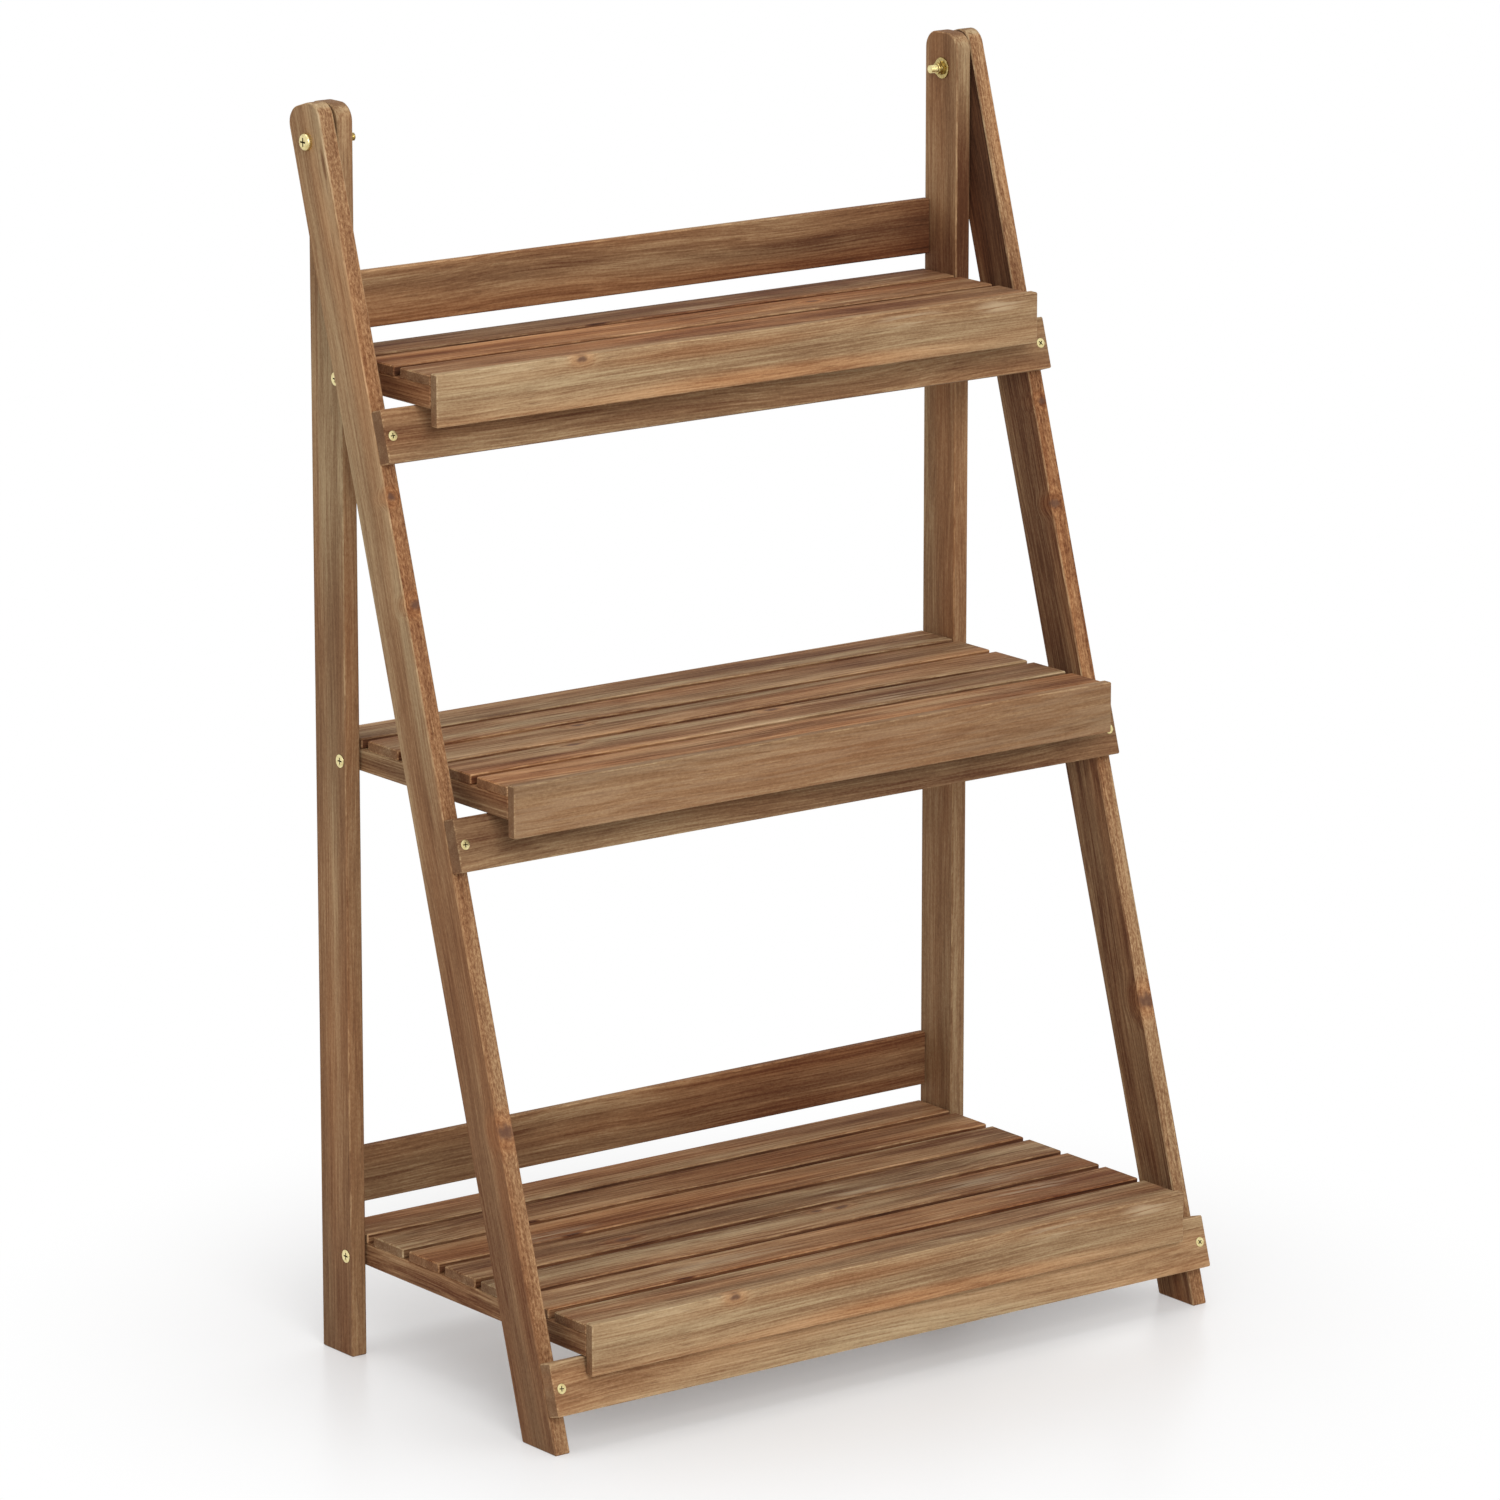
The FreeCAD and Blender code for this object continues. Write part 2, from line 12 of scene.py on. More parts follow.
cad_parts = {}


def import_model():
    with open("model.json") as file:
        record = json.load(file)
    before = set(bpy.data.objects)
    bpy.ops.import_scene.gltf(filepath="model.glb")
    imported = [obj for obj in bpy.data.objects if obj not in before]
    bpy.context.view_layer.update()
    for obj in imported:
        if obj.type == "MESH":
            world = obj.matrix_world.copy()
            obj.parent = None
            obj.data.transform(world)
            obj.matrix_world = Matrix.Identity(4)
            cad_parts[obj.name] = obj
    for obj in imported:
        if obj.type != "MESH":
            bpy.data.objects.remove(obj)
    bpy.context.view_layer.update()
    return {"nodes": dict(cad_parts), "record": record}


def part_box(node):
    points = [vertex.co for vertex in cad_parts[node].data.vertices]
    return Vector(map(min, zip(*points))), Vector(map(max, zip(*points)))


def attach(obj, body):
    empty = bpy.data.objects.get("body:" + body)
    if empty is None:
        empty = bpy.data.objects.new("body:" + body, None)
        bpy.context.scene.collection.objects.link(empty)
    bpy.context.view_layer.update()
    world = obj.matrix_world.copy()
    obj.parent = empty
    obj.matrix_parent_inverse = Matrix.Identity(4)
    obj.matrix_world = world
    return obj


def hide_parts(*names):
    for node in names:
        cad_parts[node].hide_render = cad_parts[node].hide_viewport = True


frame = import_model()
nodes = frame["nodes"]
joints = {joint["name"]: joint for joint in frame["record"]["behaviour"]["joints"]}
SPLAY = math.radians(joints["fold"]["range_deg"][1])
SHELVES = ("top", "middle", "bottom")
SIDES = {"left": -1.0, "right": 1.0}
ORIGIN = (0.0, 0.0, 0.0)


def centre(node):
    """The middle of a node's box."""
    low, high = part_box(node)
    return (Vector(low) + Vector(high)) / 2


# Small tools for node trees


def put(tree, socket, value):
    """Set a socket to a plain value, or link another socket to it."""
    if isinstance(value, bpy.types.NodeSocket):
        tree.links.new(value, socket)
    else:
        socket.default_value = value


def calc(tree, operation, first, second=0.0):
    """One step of arithmetic."""
    made = tree.nodes.new("ShaderNodeMath")
    made.operation = operation
    put(tree, made.inputs[0], first)
    put(tree, made.inputs[1], second)
    return made.outputs[0]


def add_scaled(tree, base, value, scale):
    """A base plus a value times a scale."""
    return calc(tree, "ADD", base, calc(tree, "MULTIPLY", value, scale))


def vector_calc(tree, operation, first, second=ORIGIN):
    """One step of vector arithmetic. It gives a number for a length or a dot product."""
    made = tree.nodes.new("ShaderNodeVectorMath")
    made.operation = operation
    put(tree, made.inputs[0], first)
    put(tree, made.inputs[1], second)
    return made.outputs["Value"] if operation in ("DOT_PRODUCT", "LENGTH") else made.outputs["Vector"]


def stretched(tree, vector, factor):
    """A vector times a factor."""
    made = tree.nodes.new("ShaderNodeVectorMath")
    made.operation = "SCALE"
    put(tree, made.inputs[0], vector)
    put(tree, made.inputs["Scale"], factor)
    return made.outputs["Vector"]


def remap(tree, value, low, high, new_low=0.0, new_high=1.0):
    """Carry a value smoothly from one range to another."""
    made = tree.nodes.new("ShaderNodeMapRange")
    made.interpolation_type = "SMOOTHSTEP"
    names = ("Value", "From Min", "From Max", "To Min", "To Max")
    for name, setting in zip(names, (value, low, high, new_low, new_high)):
        put(tree, made.inputs[name], setting)
    return made.outputs["Result"]


def between(tree, mask, outside, inside):
    """One value outside a mask and another inside it."""
    return remap(tree, mask, 0.0, 1.0, outside, inside)


def blend(tree, factor, first, second, kind="MIX"):
    """Lay the second colour over the first."""
    made = tree.nodes.new("ShaderNodeMix")
    made.data_type = "RGBA"
    made.blend_type = kind
    sockets = {socket.identifier: socket for socket in made.inputs}
    results = {socket.identifier: socket for socket in made.outputs}
    put(tree, sockets["Factor_Float"], factor)
    put(tree, sockets["A_Color"], first)
    put(tree, sockets["B_Color"], second)
    return results["Result_Color"]


def ramp(tree, value, stops):
    """A colour for each value, between stops of a position and a colour."""
    made = tree.nodes.new("ShaderNodeValToRGB")
    elements = made.color_ramp.elements
    while len(elements) < len(stops):
        elements.new(1.0)
    for element, (position, colour) in zip(elements, stops):
        element.position = position
        element.color = (*colour, 1.0)
    put(tree, made.inputs["Fac"], value)
    return made.outputs["Color"]


NOISE_MIDDLE = 0.5


def noise(tree, place, along, across, detail, roughness):
    """Noise drawn out along a board: how often it changes in a metre along and across the grain."""
    made = tree.nodes.new("ShaderNodeTexNoise")
    put(tree, made.inputs["Vector"], vector_calc(tree, "MULTIPLY", place, (along, across, across)))
    made.inputs["Scale"].default_value = 1.0
    made.inputs["Detail"].default_value = detail
    made.inputs["Roughness"].default_value = roughness
    return made.outputs["Fac"]


def off_middle(tree, value):
    """How far a noise is above or below its middle."""
    return calc(tree, "SUBTRACT", value, NOISE_MIDDLE)


def relief(tree, height, strength, depth):
    """The surface normal of a fine relief."""
    made = tree.nodes.new("ShaderNodeBump")
    made.inputs["Strength"].default_value = strength
    made.inputs["Distance"].default_value = depth
    put(tree, made.inputs["Height"], height)
    return made.outputs["Normal"]


def start_group(name, inputs, outputs):
    """A new node group with named sockets."""
    group = bpy.data.node_groups.new(name, "ShaderNodeTree")
    for label, kind in inputs:
        group.interface.new_socket(label, in_out="INPUT", socket_type=f"NodeSocket{kind}")
    for label, kind in outputs:
        group.interface.new_socket(label, in_out="OUTPUT", socket_type=f"NodeSocket{kind}")
    given = group.nodes.new("NodeGroupInput").outputs
    result = group.nodes.new("NodeGroupOutput").inputs
    return group, given, result


def use_group(tree, group, **inputs):
    """Place a node group, with an underscore for each space in its sockets' names."""
    made = tree.nodes.new("ShaderNodeGroup")
    made.node_tree = group
    for label, value in inputs.items():
        put(tree, made.inputs[label.replace("_", " ")], value)
    return made.outputs


def start_material(name):
    """A new material with an empty node tree."""
    material = bpy.data.materials.new(name)
    material.use_nodes = True
    tree = material.node_tree
    tree.nodes.clear()
    return material, tree


def show(tree, surface, kind="Material"):
    """Make a shader the surface of a material or of the world."""
    output = tree.nodes.new(f"ShaderNodeOutput{kind}")
    put(tree, output.inputs["Surface"], surface)


# Wood finish: the stain runs from dark to pale as the grain does

STAIN_STOPS = (
    (0.24, (0.050, 0.020, 0.010)),
    (0.38, (0.135, 0.060, 0.028)),
    (0.50, (0.265, 0.155, 0.076)),
    (0.62, (0.440, 0.308, 0.166)),
    (0.78, (0.620, 0.474, 0.296)),
)
GREY_TINT = (1.00, 1.00, 1.02, 1.0)
RED_TINT = (1.06, 0.76, 0.62, 1.0)
HUE_SPREAD = 2.6
HUE_CONTRAST_LIMIT = 1.0
SCUFF_COLOUR = (0.620, 0.480, 0.310, 1.0)
KNOT_COLOUR = (0.125, 0.062, 0.040, 1.0)
PORE_COLOUR = (0.095, 0.042, 0.021, 1.0)
END_COLOUR = (0.160, 0.078, 0.038, 1.0)
KNOT_COVER = 0.85
PORE_COVER = 0.35
END_COVER = 0.6
WEAR_STEP = 0.08
SWAY = 0.016
PORE_DEPTH = 0.5

# Layers of the grain: changes in a metre along and across the board, detail and roughness
WAVES = (4.0, 9.0, 1.0, 0.55)
BANDS = (2.2, 62.0, 2.0, 0.55)
STREAKS = (5.0, 260.0, 2.0, 0.6)
LINES = (16.0, 760.0, 2.0, 0.6)
CLOUDS = (6.0, 28.0, 2.0, 0.55)
HUES = (2.4, 34.0, 1.0, 0.55)
FLECKS = (330.0, 760.0, 3.0, 0.75)
PORES = (42.0, 900.0, 1.0, 0.55)
CHAFING = (12.0, 240.0, 3.0, 0.7)
CHIPPING = (70.0, 300.0, 3.0, 0.7)
KNOT_RIM = (160.0, 260.0, 2.0, 0.55)

# Share of the bands, streaks, lines and clouds in the grain
GRAIN_SHARES = (0.30, 0.16, 0.36, 0.18)

# Where each of these layers starts to show, and where it shows fully
PORE_RANGE = (0.62, 0.76)
CHAFED_RANGE = (0.42, 0.60)
CHIPPED_RANGE = (0.44, 0.62)

# Grain from dark to pale, and its roughness there
ROUGHNESS_RANGE = (0.38, 0.64, 0.80, 0.66)

# Distances from a knot's middle, counted in its half sizes, and the strength at each
KNOT_PULL = (0.6, 4.5, 0.72, 0.0)
KNOT_DARK = (0.55, 1.5, 1.0, 0.0)
KNOT_FLUSH = (0.9, 4.0, 0.5, 0.0)
KNOT_RAGGEDNESS = 1.2
SIDEWAYS = (0.0, 1.0, 1.0)


def knot_group():
    """A knot: a dark ragged oval in the board, with the grain bent and redder round it."""
    group, given, result = start_group(
        "wood_knot",
        (("Place", "Vector"), ("Centre", "Vector"), ("Size", "Vector")),
        (("Place", "Vector"), ("Knot", "Float"), ("Flush", "Float")),
    )
    offset = vector_calc(group, "SUBTRACT", given["Place"], given["Centre"])
    distance = vector_calc(group, "LENGTH", vector_calc(group, "DIVIDE", offset, given["Size"]))
    ragged = off_middle(group, noise(group, given["Place"], *KNOT_RIM))
    ragged_distance = add_scaled(group, distance, ragged, KNOT_RAGGEDNESS)
    sideways = vector_calc(group, "MULTIPLY", offset, SIDEWAYS)
    pull = stretched(group, sideways, remap(group, distance, *KNOT_PULL))
    put(group, result["Place"], vector_calc(group, "SUBTRACT", given["Place"], pull))
    put(group, result["Knot"], remap(group, ragged_distance, *KNOT_DARK))
    put(group, result["Flush"], remap(group, ragged_distance, *KNOT_FLUSH))
    return group


def swayed(tree, place):
    """Places on a board, moved so that its grain sways a little."""
    sway = calc(tree, "MULTIPLY", off_middle(tree, noise(tree, place, *WAVES)), SWAY)
    shift = tree.nodes.new("ShaderNodeCombineXYZ")
    put(tree, shift.inputs["Y"], sway)
    put(tree, shift.inputs["Z"], sway)
    return vector_calc(tree, "ADD", place, shift.outputs["Vector"])


def stained_wood_group():
    """Straight-grained wood under a brown stain, with red bands, pores, knots, scuffs and end grain."""
    group, given, result = start_group(
        "stained_wood",
        (
            ("Place", "Vector"),
            ("Knot", "Float"),
            ("End grain", "Float"),
            ("Worn", "Float"),
            ("Tone", "Float"),
            ("Contrast", "Float"),
            ("Speckle", "Float"),
            ("Redness", "Float"),
            ("Scuffs", "Float"),
        ),
        (("Color", "Color"), ("Roughness", "Float"), ("Height", "Float")),
    )
    place = given["Place"]
    bent = swayed(group, place)
    bands = noise(group, bent, *BANDS)
    streaks = noise(group, bent, *STREAKS)
    lines = noise(group, bent, *LINES)
    clouds = noise(group, place, *CLOUDS)
    hues = noise(group, bent, *HUES)
    flecks = noise(group, bent, *FLECKS)
    pores = remap(group, noise(group, bent, *PORES), *PORE_RANGE)
    chafed = remap(group, noise(group, bent, *CHAFING), *CHAFED_RANGE)
    chipped = remap(group, noise(group, place, *CHIPPING), *CHIPPED_RANGE)

    grain = 0.0
    for layer, share in zip((bands, streaks, lines, clouds), GRAIN_SHARES):
        grain = add_scaled(group, grain, layer, share)
    tone = add_scaled(group, NOISE_MIDDLE, off_middle(group, grain), given["Contrast"])
    tone = calc(group, "ADD", tone, given["Tone"])
    tone = add_scaled(group, tone, off_middle(group, flecks), given["Speckle"])
    tone = add_scaled(group, tone, calc(group, "MULTIPLY", chipped, given["Worn"]), WEAR_STEP)

    hue_contrast = calc(group, "MINIMUM", given["Contrast"], HUE_CONTRAST_LIMIT)
    hue_spread = calc(group, "MULTIPLY", hue_contrast, HUE_SPREAD)
    redness = add_scaled(group, given["Redness"], off_middle(group, hues), hue_spread)
    tint = blend(group, redness, GREY_TINT, RED_TINT)
    stain = blend(group, 1.0, ramp(group, tone, STAIN_STOPS), tint, "MULTIPLY")
    for mask, cover, colour in (
        (pores, PORE_COVER, PORE_COLOUR),
        (chafed, given["Scuffs"], SCUFF_COLOUR),
        (given["Knot"], KNOT_COVER, KNOT_COLOUR),
        (given["End grain"], END_COVER, END_COLOUR),
    ):
        stain = blend(group, calc(group, "MULTIPLY", mask, cover), stain, colour)
    put(group, result["Color"], stain)
    put(group, result["Roughness"], remap(group, grain, *ROUGHNESS_RANGE))
    put(group, result["Height"], calc(group, "SUBTRACT", lines, calc(group, "MULTIPLY", pores, PORE_DEPTH)))
    return group


knot_nodes = knot_group()
stained_nodes = stained_wood_group()

# Order of the object axes as along the grain, across the board's width and through its thickness
SLAT_GRAIN = "XYZ"
RAIL_GRAIN = "XZY"
CLEAT_GRAIN = "YZX"
LEG_GRAIN = "ZYX"
DIRECTIONS = {"along": (1.0, 0.0, 0.0), "across": (0.0, 1.0, 0.0), "through": (0.0, 0.0, 1.0)}

BOARD_CONTRAST = 1.2
BOARD_SPECKLE = 0.18
SEED_STEPS = (3.7, 0.61, 0.37)
THROUGH_ALL = 1.0
PATCH_RIM = (0.2, 1.0, 1.0, 0.0)
SQUARE_FACE = (0.75, 0.95)
EASED_EDGE = (0.80, 0.95, 1.0, 0.0)
FRONT = -1.0
WOOD_RELIEF = 0.5
WOOD_RELIEF_DEPTH = 0.00025
WOOD_SPECULAR = 0.12


class Board:
    """The wood of one board, with the grain along it and its own tones and marks.

    Tone and redness are steps towards the pale end of the stain and towards red. Places are measured from
    the board's middle, along and across it. Scuffs, shades, flushes and fades come first, then the narrow
    faces, then the knots, and finish puts the wood on the board.
    """

    def __init__(
        self, name, grain, seed, tone, redness, tilt=0.0, contrast=BOARD_CONTRAST, speckle=BOARD_SPECKLE
    ):
        self.name = name
        self.grain = grain
        self.seed = seed
        self.tone = tone
        self.redness = redness
        self.tilt = tilt
        self.contrast = contrast
        self.speckle = speckle
        self.knot_mask = 0.0
        self.scuff_mask = 0.0
        self.material, self.tree = start_material(f"{name}_wood")
        coordinates = self.tree.nodes.new("ShaderNodeTexCoord").outputs
        self.spot = self.turn(coordinates["Object"], centre(name))
        self.normal = self.turn(coordinates["Normal"], ORIGIN)
        self.grain_spot = self.spot

    def turn(self, vector, origin):
        """Turn a vector of the object into the board's own directions."""
        mapping = self.tree.nodes.new("ShaderNodeMapping")
        mapping.vector_type = "TEXTURE"
        put(self.tree, mapping.inputs["Vector"], vector)
        mapping.inputs["Location"].default_value = origin
        mapping.inputs["Rotation"].default_value = (-self.tilt, 0.0, 0.0)
        split = self.tree.nodes.new("ShaderNodeSeparateXYZ")
        put(self.tree, split.inputs[0], mapping.outputs["Vector"])
        join = self.tree.nodes.new("ShaderNodeCombineXYZ")
        for target, source in zip("XYZ", self.grain):
            put(self.tree, join.inputs[target], split.outputs[source])
        return join.outputs["Vector"]

    def along(self):
        """The place along the board."""
        return vector_calc(self.tree, "DOT_PRODUCT", self.spot, DIRECTIONS["along"])

    def facing(self, direction, sign=None):
        """How squarely a face looks along, across or through the board, either way or one way."""
        value = vector_calc(self.tree, "DOT_PRODUCT", self.normal, DIRECTIONS[direction])
        if sign is None:
            return calc(self.tree, "ABSOLUTE", value)
        return calc(self.tree, "MULTIPLY", value, sign)

    def face_mask(self, direction, sign=None):
        """The faces that look along, across or through the board, either way or one way."""
        return remap(self.tree, self.facing(direction, sign), *SQUARE_FACE)

    def eased_edges(self):
        """The narrow eased edges, which face none of the board's directions squarely."""
        widest = calc(self.tree, "MAXIMUM", self.facing("along"), self.facing("across"))
        widest = calc(self.tree, "MAXIMUM", widest, self.facing("through"))
        return remap(self.tree, widest, *EASED_EDGE)

    def patch(self, along, across, length, width):
        """An oval patch right through the board, fading out towards its rim."""
        offset = vector_calc(self.tree, "SUBTRACT", self.spot, (along, across, 0.0))
        oval = vector_calc(self.tree, "DIVIDE", offset, (length, width, THROUGH_ALL))
        return remap(self.tree, vector_calc(self.tree, "LENGTH", oval), *PATCH_RIM)

    def scuff(self, patches):
        """Rub the stain pale in ovals: (along, across, length, width, strength)."""
        for *oval, strength in patches:
            rubbed = calc(self.tree, "MULTIPLY", self.patch(*oval), strength)
            self.scuff_mask = calc(self.tree, "MAXIMUM", self.scuff_mask, rubbed)

    def shade(self, patches):
        """Change the tone in ovals: (along, across, length, width, step)."""
        for *oval, step in patches:
            self.tone = add_scaled(self.tree, self.tone, self.patch(*oval), step)

    def redden(self, patches):
        """Change the redness in ovals: (along, across, length, width, step)."""
        for *oval, step in patches:
            self.redness = add_scaled(self.tree, self.redness, self.patch(*oval), step)

    def fade(self, low, high, low_step, high_step):
        """Change the tone by steps that run from one place along the board to another."""
        steps = remap(self.tree, self.along(), low, high, low_step, high_step)
        self.tone = calc(self.tree, "ADD", self.tone, steps)

    def fade_face(self, sign, low, high, low_step, high_step):
        """Change the tone as a fade does, but on one of the two broad faces only."""
        steps = remap(self.tree, self.along(), low, high, low_step, high_step)
        self.tone = add_scaled(self.tree, self.tone, steps, self.face_mask("through", sign))

    def set_edges(self, tone, redness, speckle):
        """Give the two narrow faces a tone, a redness and a speckle of their own."""
        on_edge = self.face_mask("across")
        self.tone = between(self.tree, on_edge, self.tone, tone)
        self.redness = between(self.tree, on_edge, self.redness, redness)
        self.speckle = between(self.tree, on_edge, self.speckle, speckle)

    def mark_front_edge(self, marks):
        """Change stretches of the front narrow face: (along, length, tone step, redness step)."""
        on_front = self.face_mask("across", FRONT)
        for along, length, tone_step, red_step in marks:
            stretch = self.patch(along, 0.0, length, THROUGH_ALL)
            mark = calc(self.tree, "MULTIPLY", stretch, on_front)
            self.tone = add_scaled(self.tree, self.tone, mark, tone_step)
            self.redness = add_scaled(self.tree, self.redness, mark, red_step)

    def add_knots(self, knots):
        """Add knots, each a centre and half sizes along, across and through the board."""
        flush = 0.0
        for middle, size in knots:
            knot = use_group(self.tree, knot_nodes, Place=self.grain_spot, Centre=middle, Size=size)
            self.grain_spot = knot["Place"]
            self.knot_mask = calc(self.tree, "MAXIMUM", self.knot_mask, knot["Knot"])
            flush = calc(self.tree, "MAXIMUM", flush, knot["Flush"])
        if knots:
            self.redness = calc(self.tree, "ADD", self.redness, flush)

    def finish(self):
        """Stain the wood and put it on the board."""
        tree = self.tree
        stained = use_group(
            tree,
            stained_nodes,
            Place=vector_calc(tree, "ADD", self.grain_spot, [self.seed * step for step in SEED_STEPS]),
            Knot=self.knot_mask,
            End_grain=self.face_mask("along"),
            Worn=self.eased_edges(),
            Tone=self.tone,
            Contrast=self.contrast,
            Speckle=self.speckle,
            Redness=self.redness,
            Scuffs=self.scuff_mask,
        )
        wood = tree.nodes.new("ShaderNodeBsdfPrincipled")
        put(tree, wood.inputs["Base Color"], stained["Color"])
        put(tree, wood.inputs["Roughness"], stained["Roughness"])
        put(tree, wood.inputs["Normal"], relief(tree, stained["Height"], WOOD_RELIEF, WOOD_RELIEF_DEPTH))
        wood.inputs["Specular IOR Level"].default_value = WOOD_SPECULAR
        show(tree, wood.outputs["BSDF"])
        for slot in nodes[self.name].material_slots:
            slot.material = self.material


def knot_through(along, across, length, width):
    """A knot that goes right through a board."""
    return (along, across, 0.0), (length, width, THROUGH_ALL)


# Boards of the shelves

APRON_SEED = 1
APRON_TONE = 0.050
APRON_REDNESS = 0.20
APRON_CONTRAST = 0.9
APRON_KNOTS = (knot_through(-0.146, 0.0165, 0.0045, 0.0022),)
APRON_SCUFFS = ((0.152, 0.011, 0.042, 0.008, 0.6), (0.235, 0.013, 0.030, 0.007, 0.45))
APRON_SHADES = ((0.080, -0.006, 0.130, 0.012, -0.020), (-0.200, 0.004, 0.120, 0.016, 0.015))
APRON_FLUSHES = ((0.060, -0.0135, 0.210, 0.0090, 0.45), (-0.020, 0.0100, 0.130, 0.0080, 0.30))
MIDDLE_APRON_SEED = 4
MIDDLE_APRON_TONE = -0.006
MIDDLE_APRON_CONTRAST = 0.5
MIDDLE_APRON_BLOOM = ((0.0, 0.0, 1.0, 0.2, 0.12),)


def dress_aprons():
    """The top and bottom aprons alike, and a plainer middle one."""
    for shelf in ("top", "bottom"):
        apron = Board(
            f"{shelf}_apron", RAIL_GRAIN, APRON_SEED, APRON_TONE, APRON_REDNESS, contrast=APRON_CONTRAST
        )
        apron.scuff(APRON_SCUFFS)
        apron.shade(APRON_SHADES)
        apron.redden(APRON_FLUSHES)
        apron.add_knots(APRON_KNOTS)
        apron.finish()
    plain = Board(
        "middle_apron", RAIL_GRAIN, MIDDLE_APRON_SEED, MIDDLE_APRON_TONE, APRON_REDNESS,
        contrast=MIDDLE_APRON_CONTRAST,
    )
    plain.scuff(MIDDLE_APRON_BLOOM)
    plain.finish()


SLAT_TONES = {"top": -0.036, "middle": 0.012, "bottom": 0.013}
# Lighter tone for single slats; on the two rear bottom slats it is painted light against the shade of the
# shelves above.
SLAT_LIFTS_AND_PAINTED_LIGHT = {"bottom_slat_1": 0.012, "bottom_slat_2": 0.022, "middle_slat_4": 0.008}
SLAT_REDNESS = 0.46
SLAT_CONTRAST = 1.3
# Tone, redness and speckle of the slats' narrow faces; their dark tone is painted shade in the gaps between
# the slats.
SLAT_EDGES_WITH_PAINTED_SHADE = (-0.11, 0.4, 0.1)
SLAT_SEED_STEP = 10
WOBBLE_STEP = 2.4
TONE_WOBBLE = 0.02
REDNESS_WOBBLE = 0.15
SHADE_WOBBLE = 0.05
SHADE_ALONG = 0.175
SHADE_OVAL = (0.003, 0.100, 0.022, -0.055)
CHIPS_ALONG = {
    "bottom_slat_2": -0.159,
    "bottom_slat_3": -0.151,
    "bottom_slat_6": -0.150,
    "top_slat_1": -0.060,
}
CHIP_OVAL = (-0.0185, 0.014, 0.0030, -0.25)
SLAT_KNOTS = {
    "bottom_slat_4": (knot_through(-0.129, -0.006, 0.0070, 0.0030),),
    "bottom_slat_5": (
        knot_through(0.027, 0.012, 0.0050, 0.0022),
        knot_through(0.047, 0.009, 0.0065, 0.0028),
    ),
    "middle_slat_3": (knot_through(-0.122, 0.013, 0.0060, 0.0026),),
    "middle_slat_4": (
        knot_through(-0.159, 0.012, 0.0060, 0.0026),
        knot_through(0.020, 0.013, 0.0070, 0.0026),
    ),
    "top_slat_2": (knot_through(0.120, 0.005, 0.0050, 0.0022),),
}
SLAT_SCUFFS = {
    "bottom_slat_3": ((-0.170, -0.010, 0.060, 0.012, 0.45),),
    "bottom_slat_4": ((0.100, -0.012, 0.090, 0.010, 0.5),),
    "bottom_slat_5": ((0.180, -0.002, 0.075, 0.013, 0.5),),
    "bottom_slat_6": ((-0.100, 0.000, 0.080, 0.012, 0.4), (0.190, 0.008, 0.060, 0.010, 0.5)),
    "middle_slat_4": ((0.130, -0.008, 0.070, 0.010, 0.5),),
    "top_slat_1": ((0.040, -0.012, 0.060, 0.008, 0.4),),
}


def dress_slat(name, shelf, seed):
    """One slat, a little different from its neighbours in tone, redness and the place of its shade."""
    wobble = math.sin(WOBBLE_STEP * seed)
    # The lifts of the rear bottom slats are painted light.
    tone = SLAT_TONES[shelf] + TONE_WOBBLE * wobble + SLAT_LIFTS_AND_PAINTED_LIGHT.get(name, 0.0)
    redness = SLAT_REDNESS + REDNESS_WOBBLE * wobble
    slat = Board(name, SLAT_GRAIN, seed, tone, redness, contrast=SLAT_CONTRAST)
    slat.scuff(SLAT_SCUFFS.get(name, ()))
    slat.shade([(SHADE_ALONG + SHADE_WOBBLE * wobble, *SHADE_OVAL)])
    if name in CHIPS_ALONG:
        slat.shade([(CHIPS_ALONG[name], *CHIP_OVAL)])
    # The dark narrow faces are painted shade in the gaps between slats.
    slat.set_edges(*SLAT_EDGES_WITH_PAINTED_SHADE)
    slat.add_knots(SLAT_KNOTS.get(name, ()))
    slat.finish()


def dress_slats():
    """The slats of each shelf, counted from the rear."""
    for shelf_number, shelf in enumerate(SHELVES, start=1):
        slat_names = sorted(name for name in nodes if name.startswith(f"{shelf}_slat_"))
        for number, name in enumerate(slat_names):
            dress_slat(name, shelf, SLAT_SEED_STEP * shelf_number + number)


CLEAT_SEED = 50
CLEAT_TONE = -0.03
CLEAT_REDNESS = 0.45


def dress_cleats():
    """The plain battens under the slats."""
    cleats = [f"{shelf}_cleat_{side}" for shelf in SHELVES for side in SIDES]
    for number, name in enumerate(cleats):
        Board(name, CLEAT_GRAIN, CLEAT_SEED + number, CLEAT_TONE, CLEAT_REDNESS).finish()


# Boards of the two frames

BACK_RAIL_SEED = 61

# Tone, redness, contrast and shades of each back rail. The darker shades at the right ends are painted
# shadow of the right legs, on the upper rail together with darker wood; the lower rail also has a lighter
# patch.
BACK_RAILS_WITH_PAINTED_SHADOW = {
    "upper_back_rail": (
        0.018, 0.50, 0.85, ((0.270, 0.0, 0.220, 0.100, -0.095), (0.275, 0.0, 0.045, 0.100, -0.060))
    ),
    "lower_back_rail": (
        -0.012, 0.32, 0.9, ((0.190, 0.0, 0.190, 0.100, -0.065), (-0.040, 0.0, 0.080, 0.100, 0.040))
    ),
}
FRONT_RAIL_SEED = 70
FRONT_RAIL_CONTRAST = 0.9

# Tone and redness of each front rail; the middle rail's darker tone is painted shade of the apron above it
FRONT_RAILS_WITH_PAINTED_SHADE = {"top": (0.008, 0.22), "middle": (-0.044, 0.08), "bottom": (0.072, 0.50)}


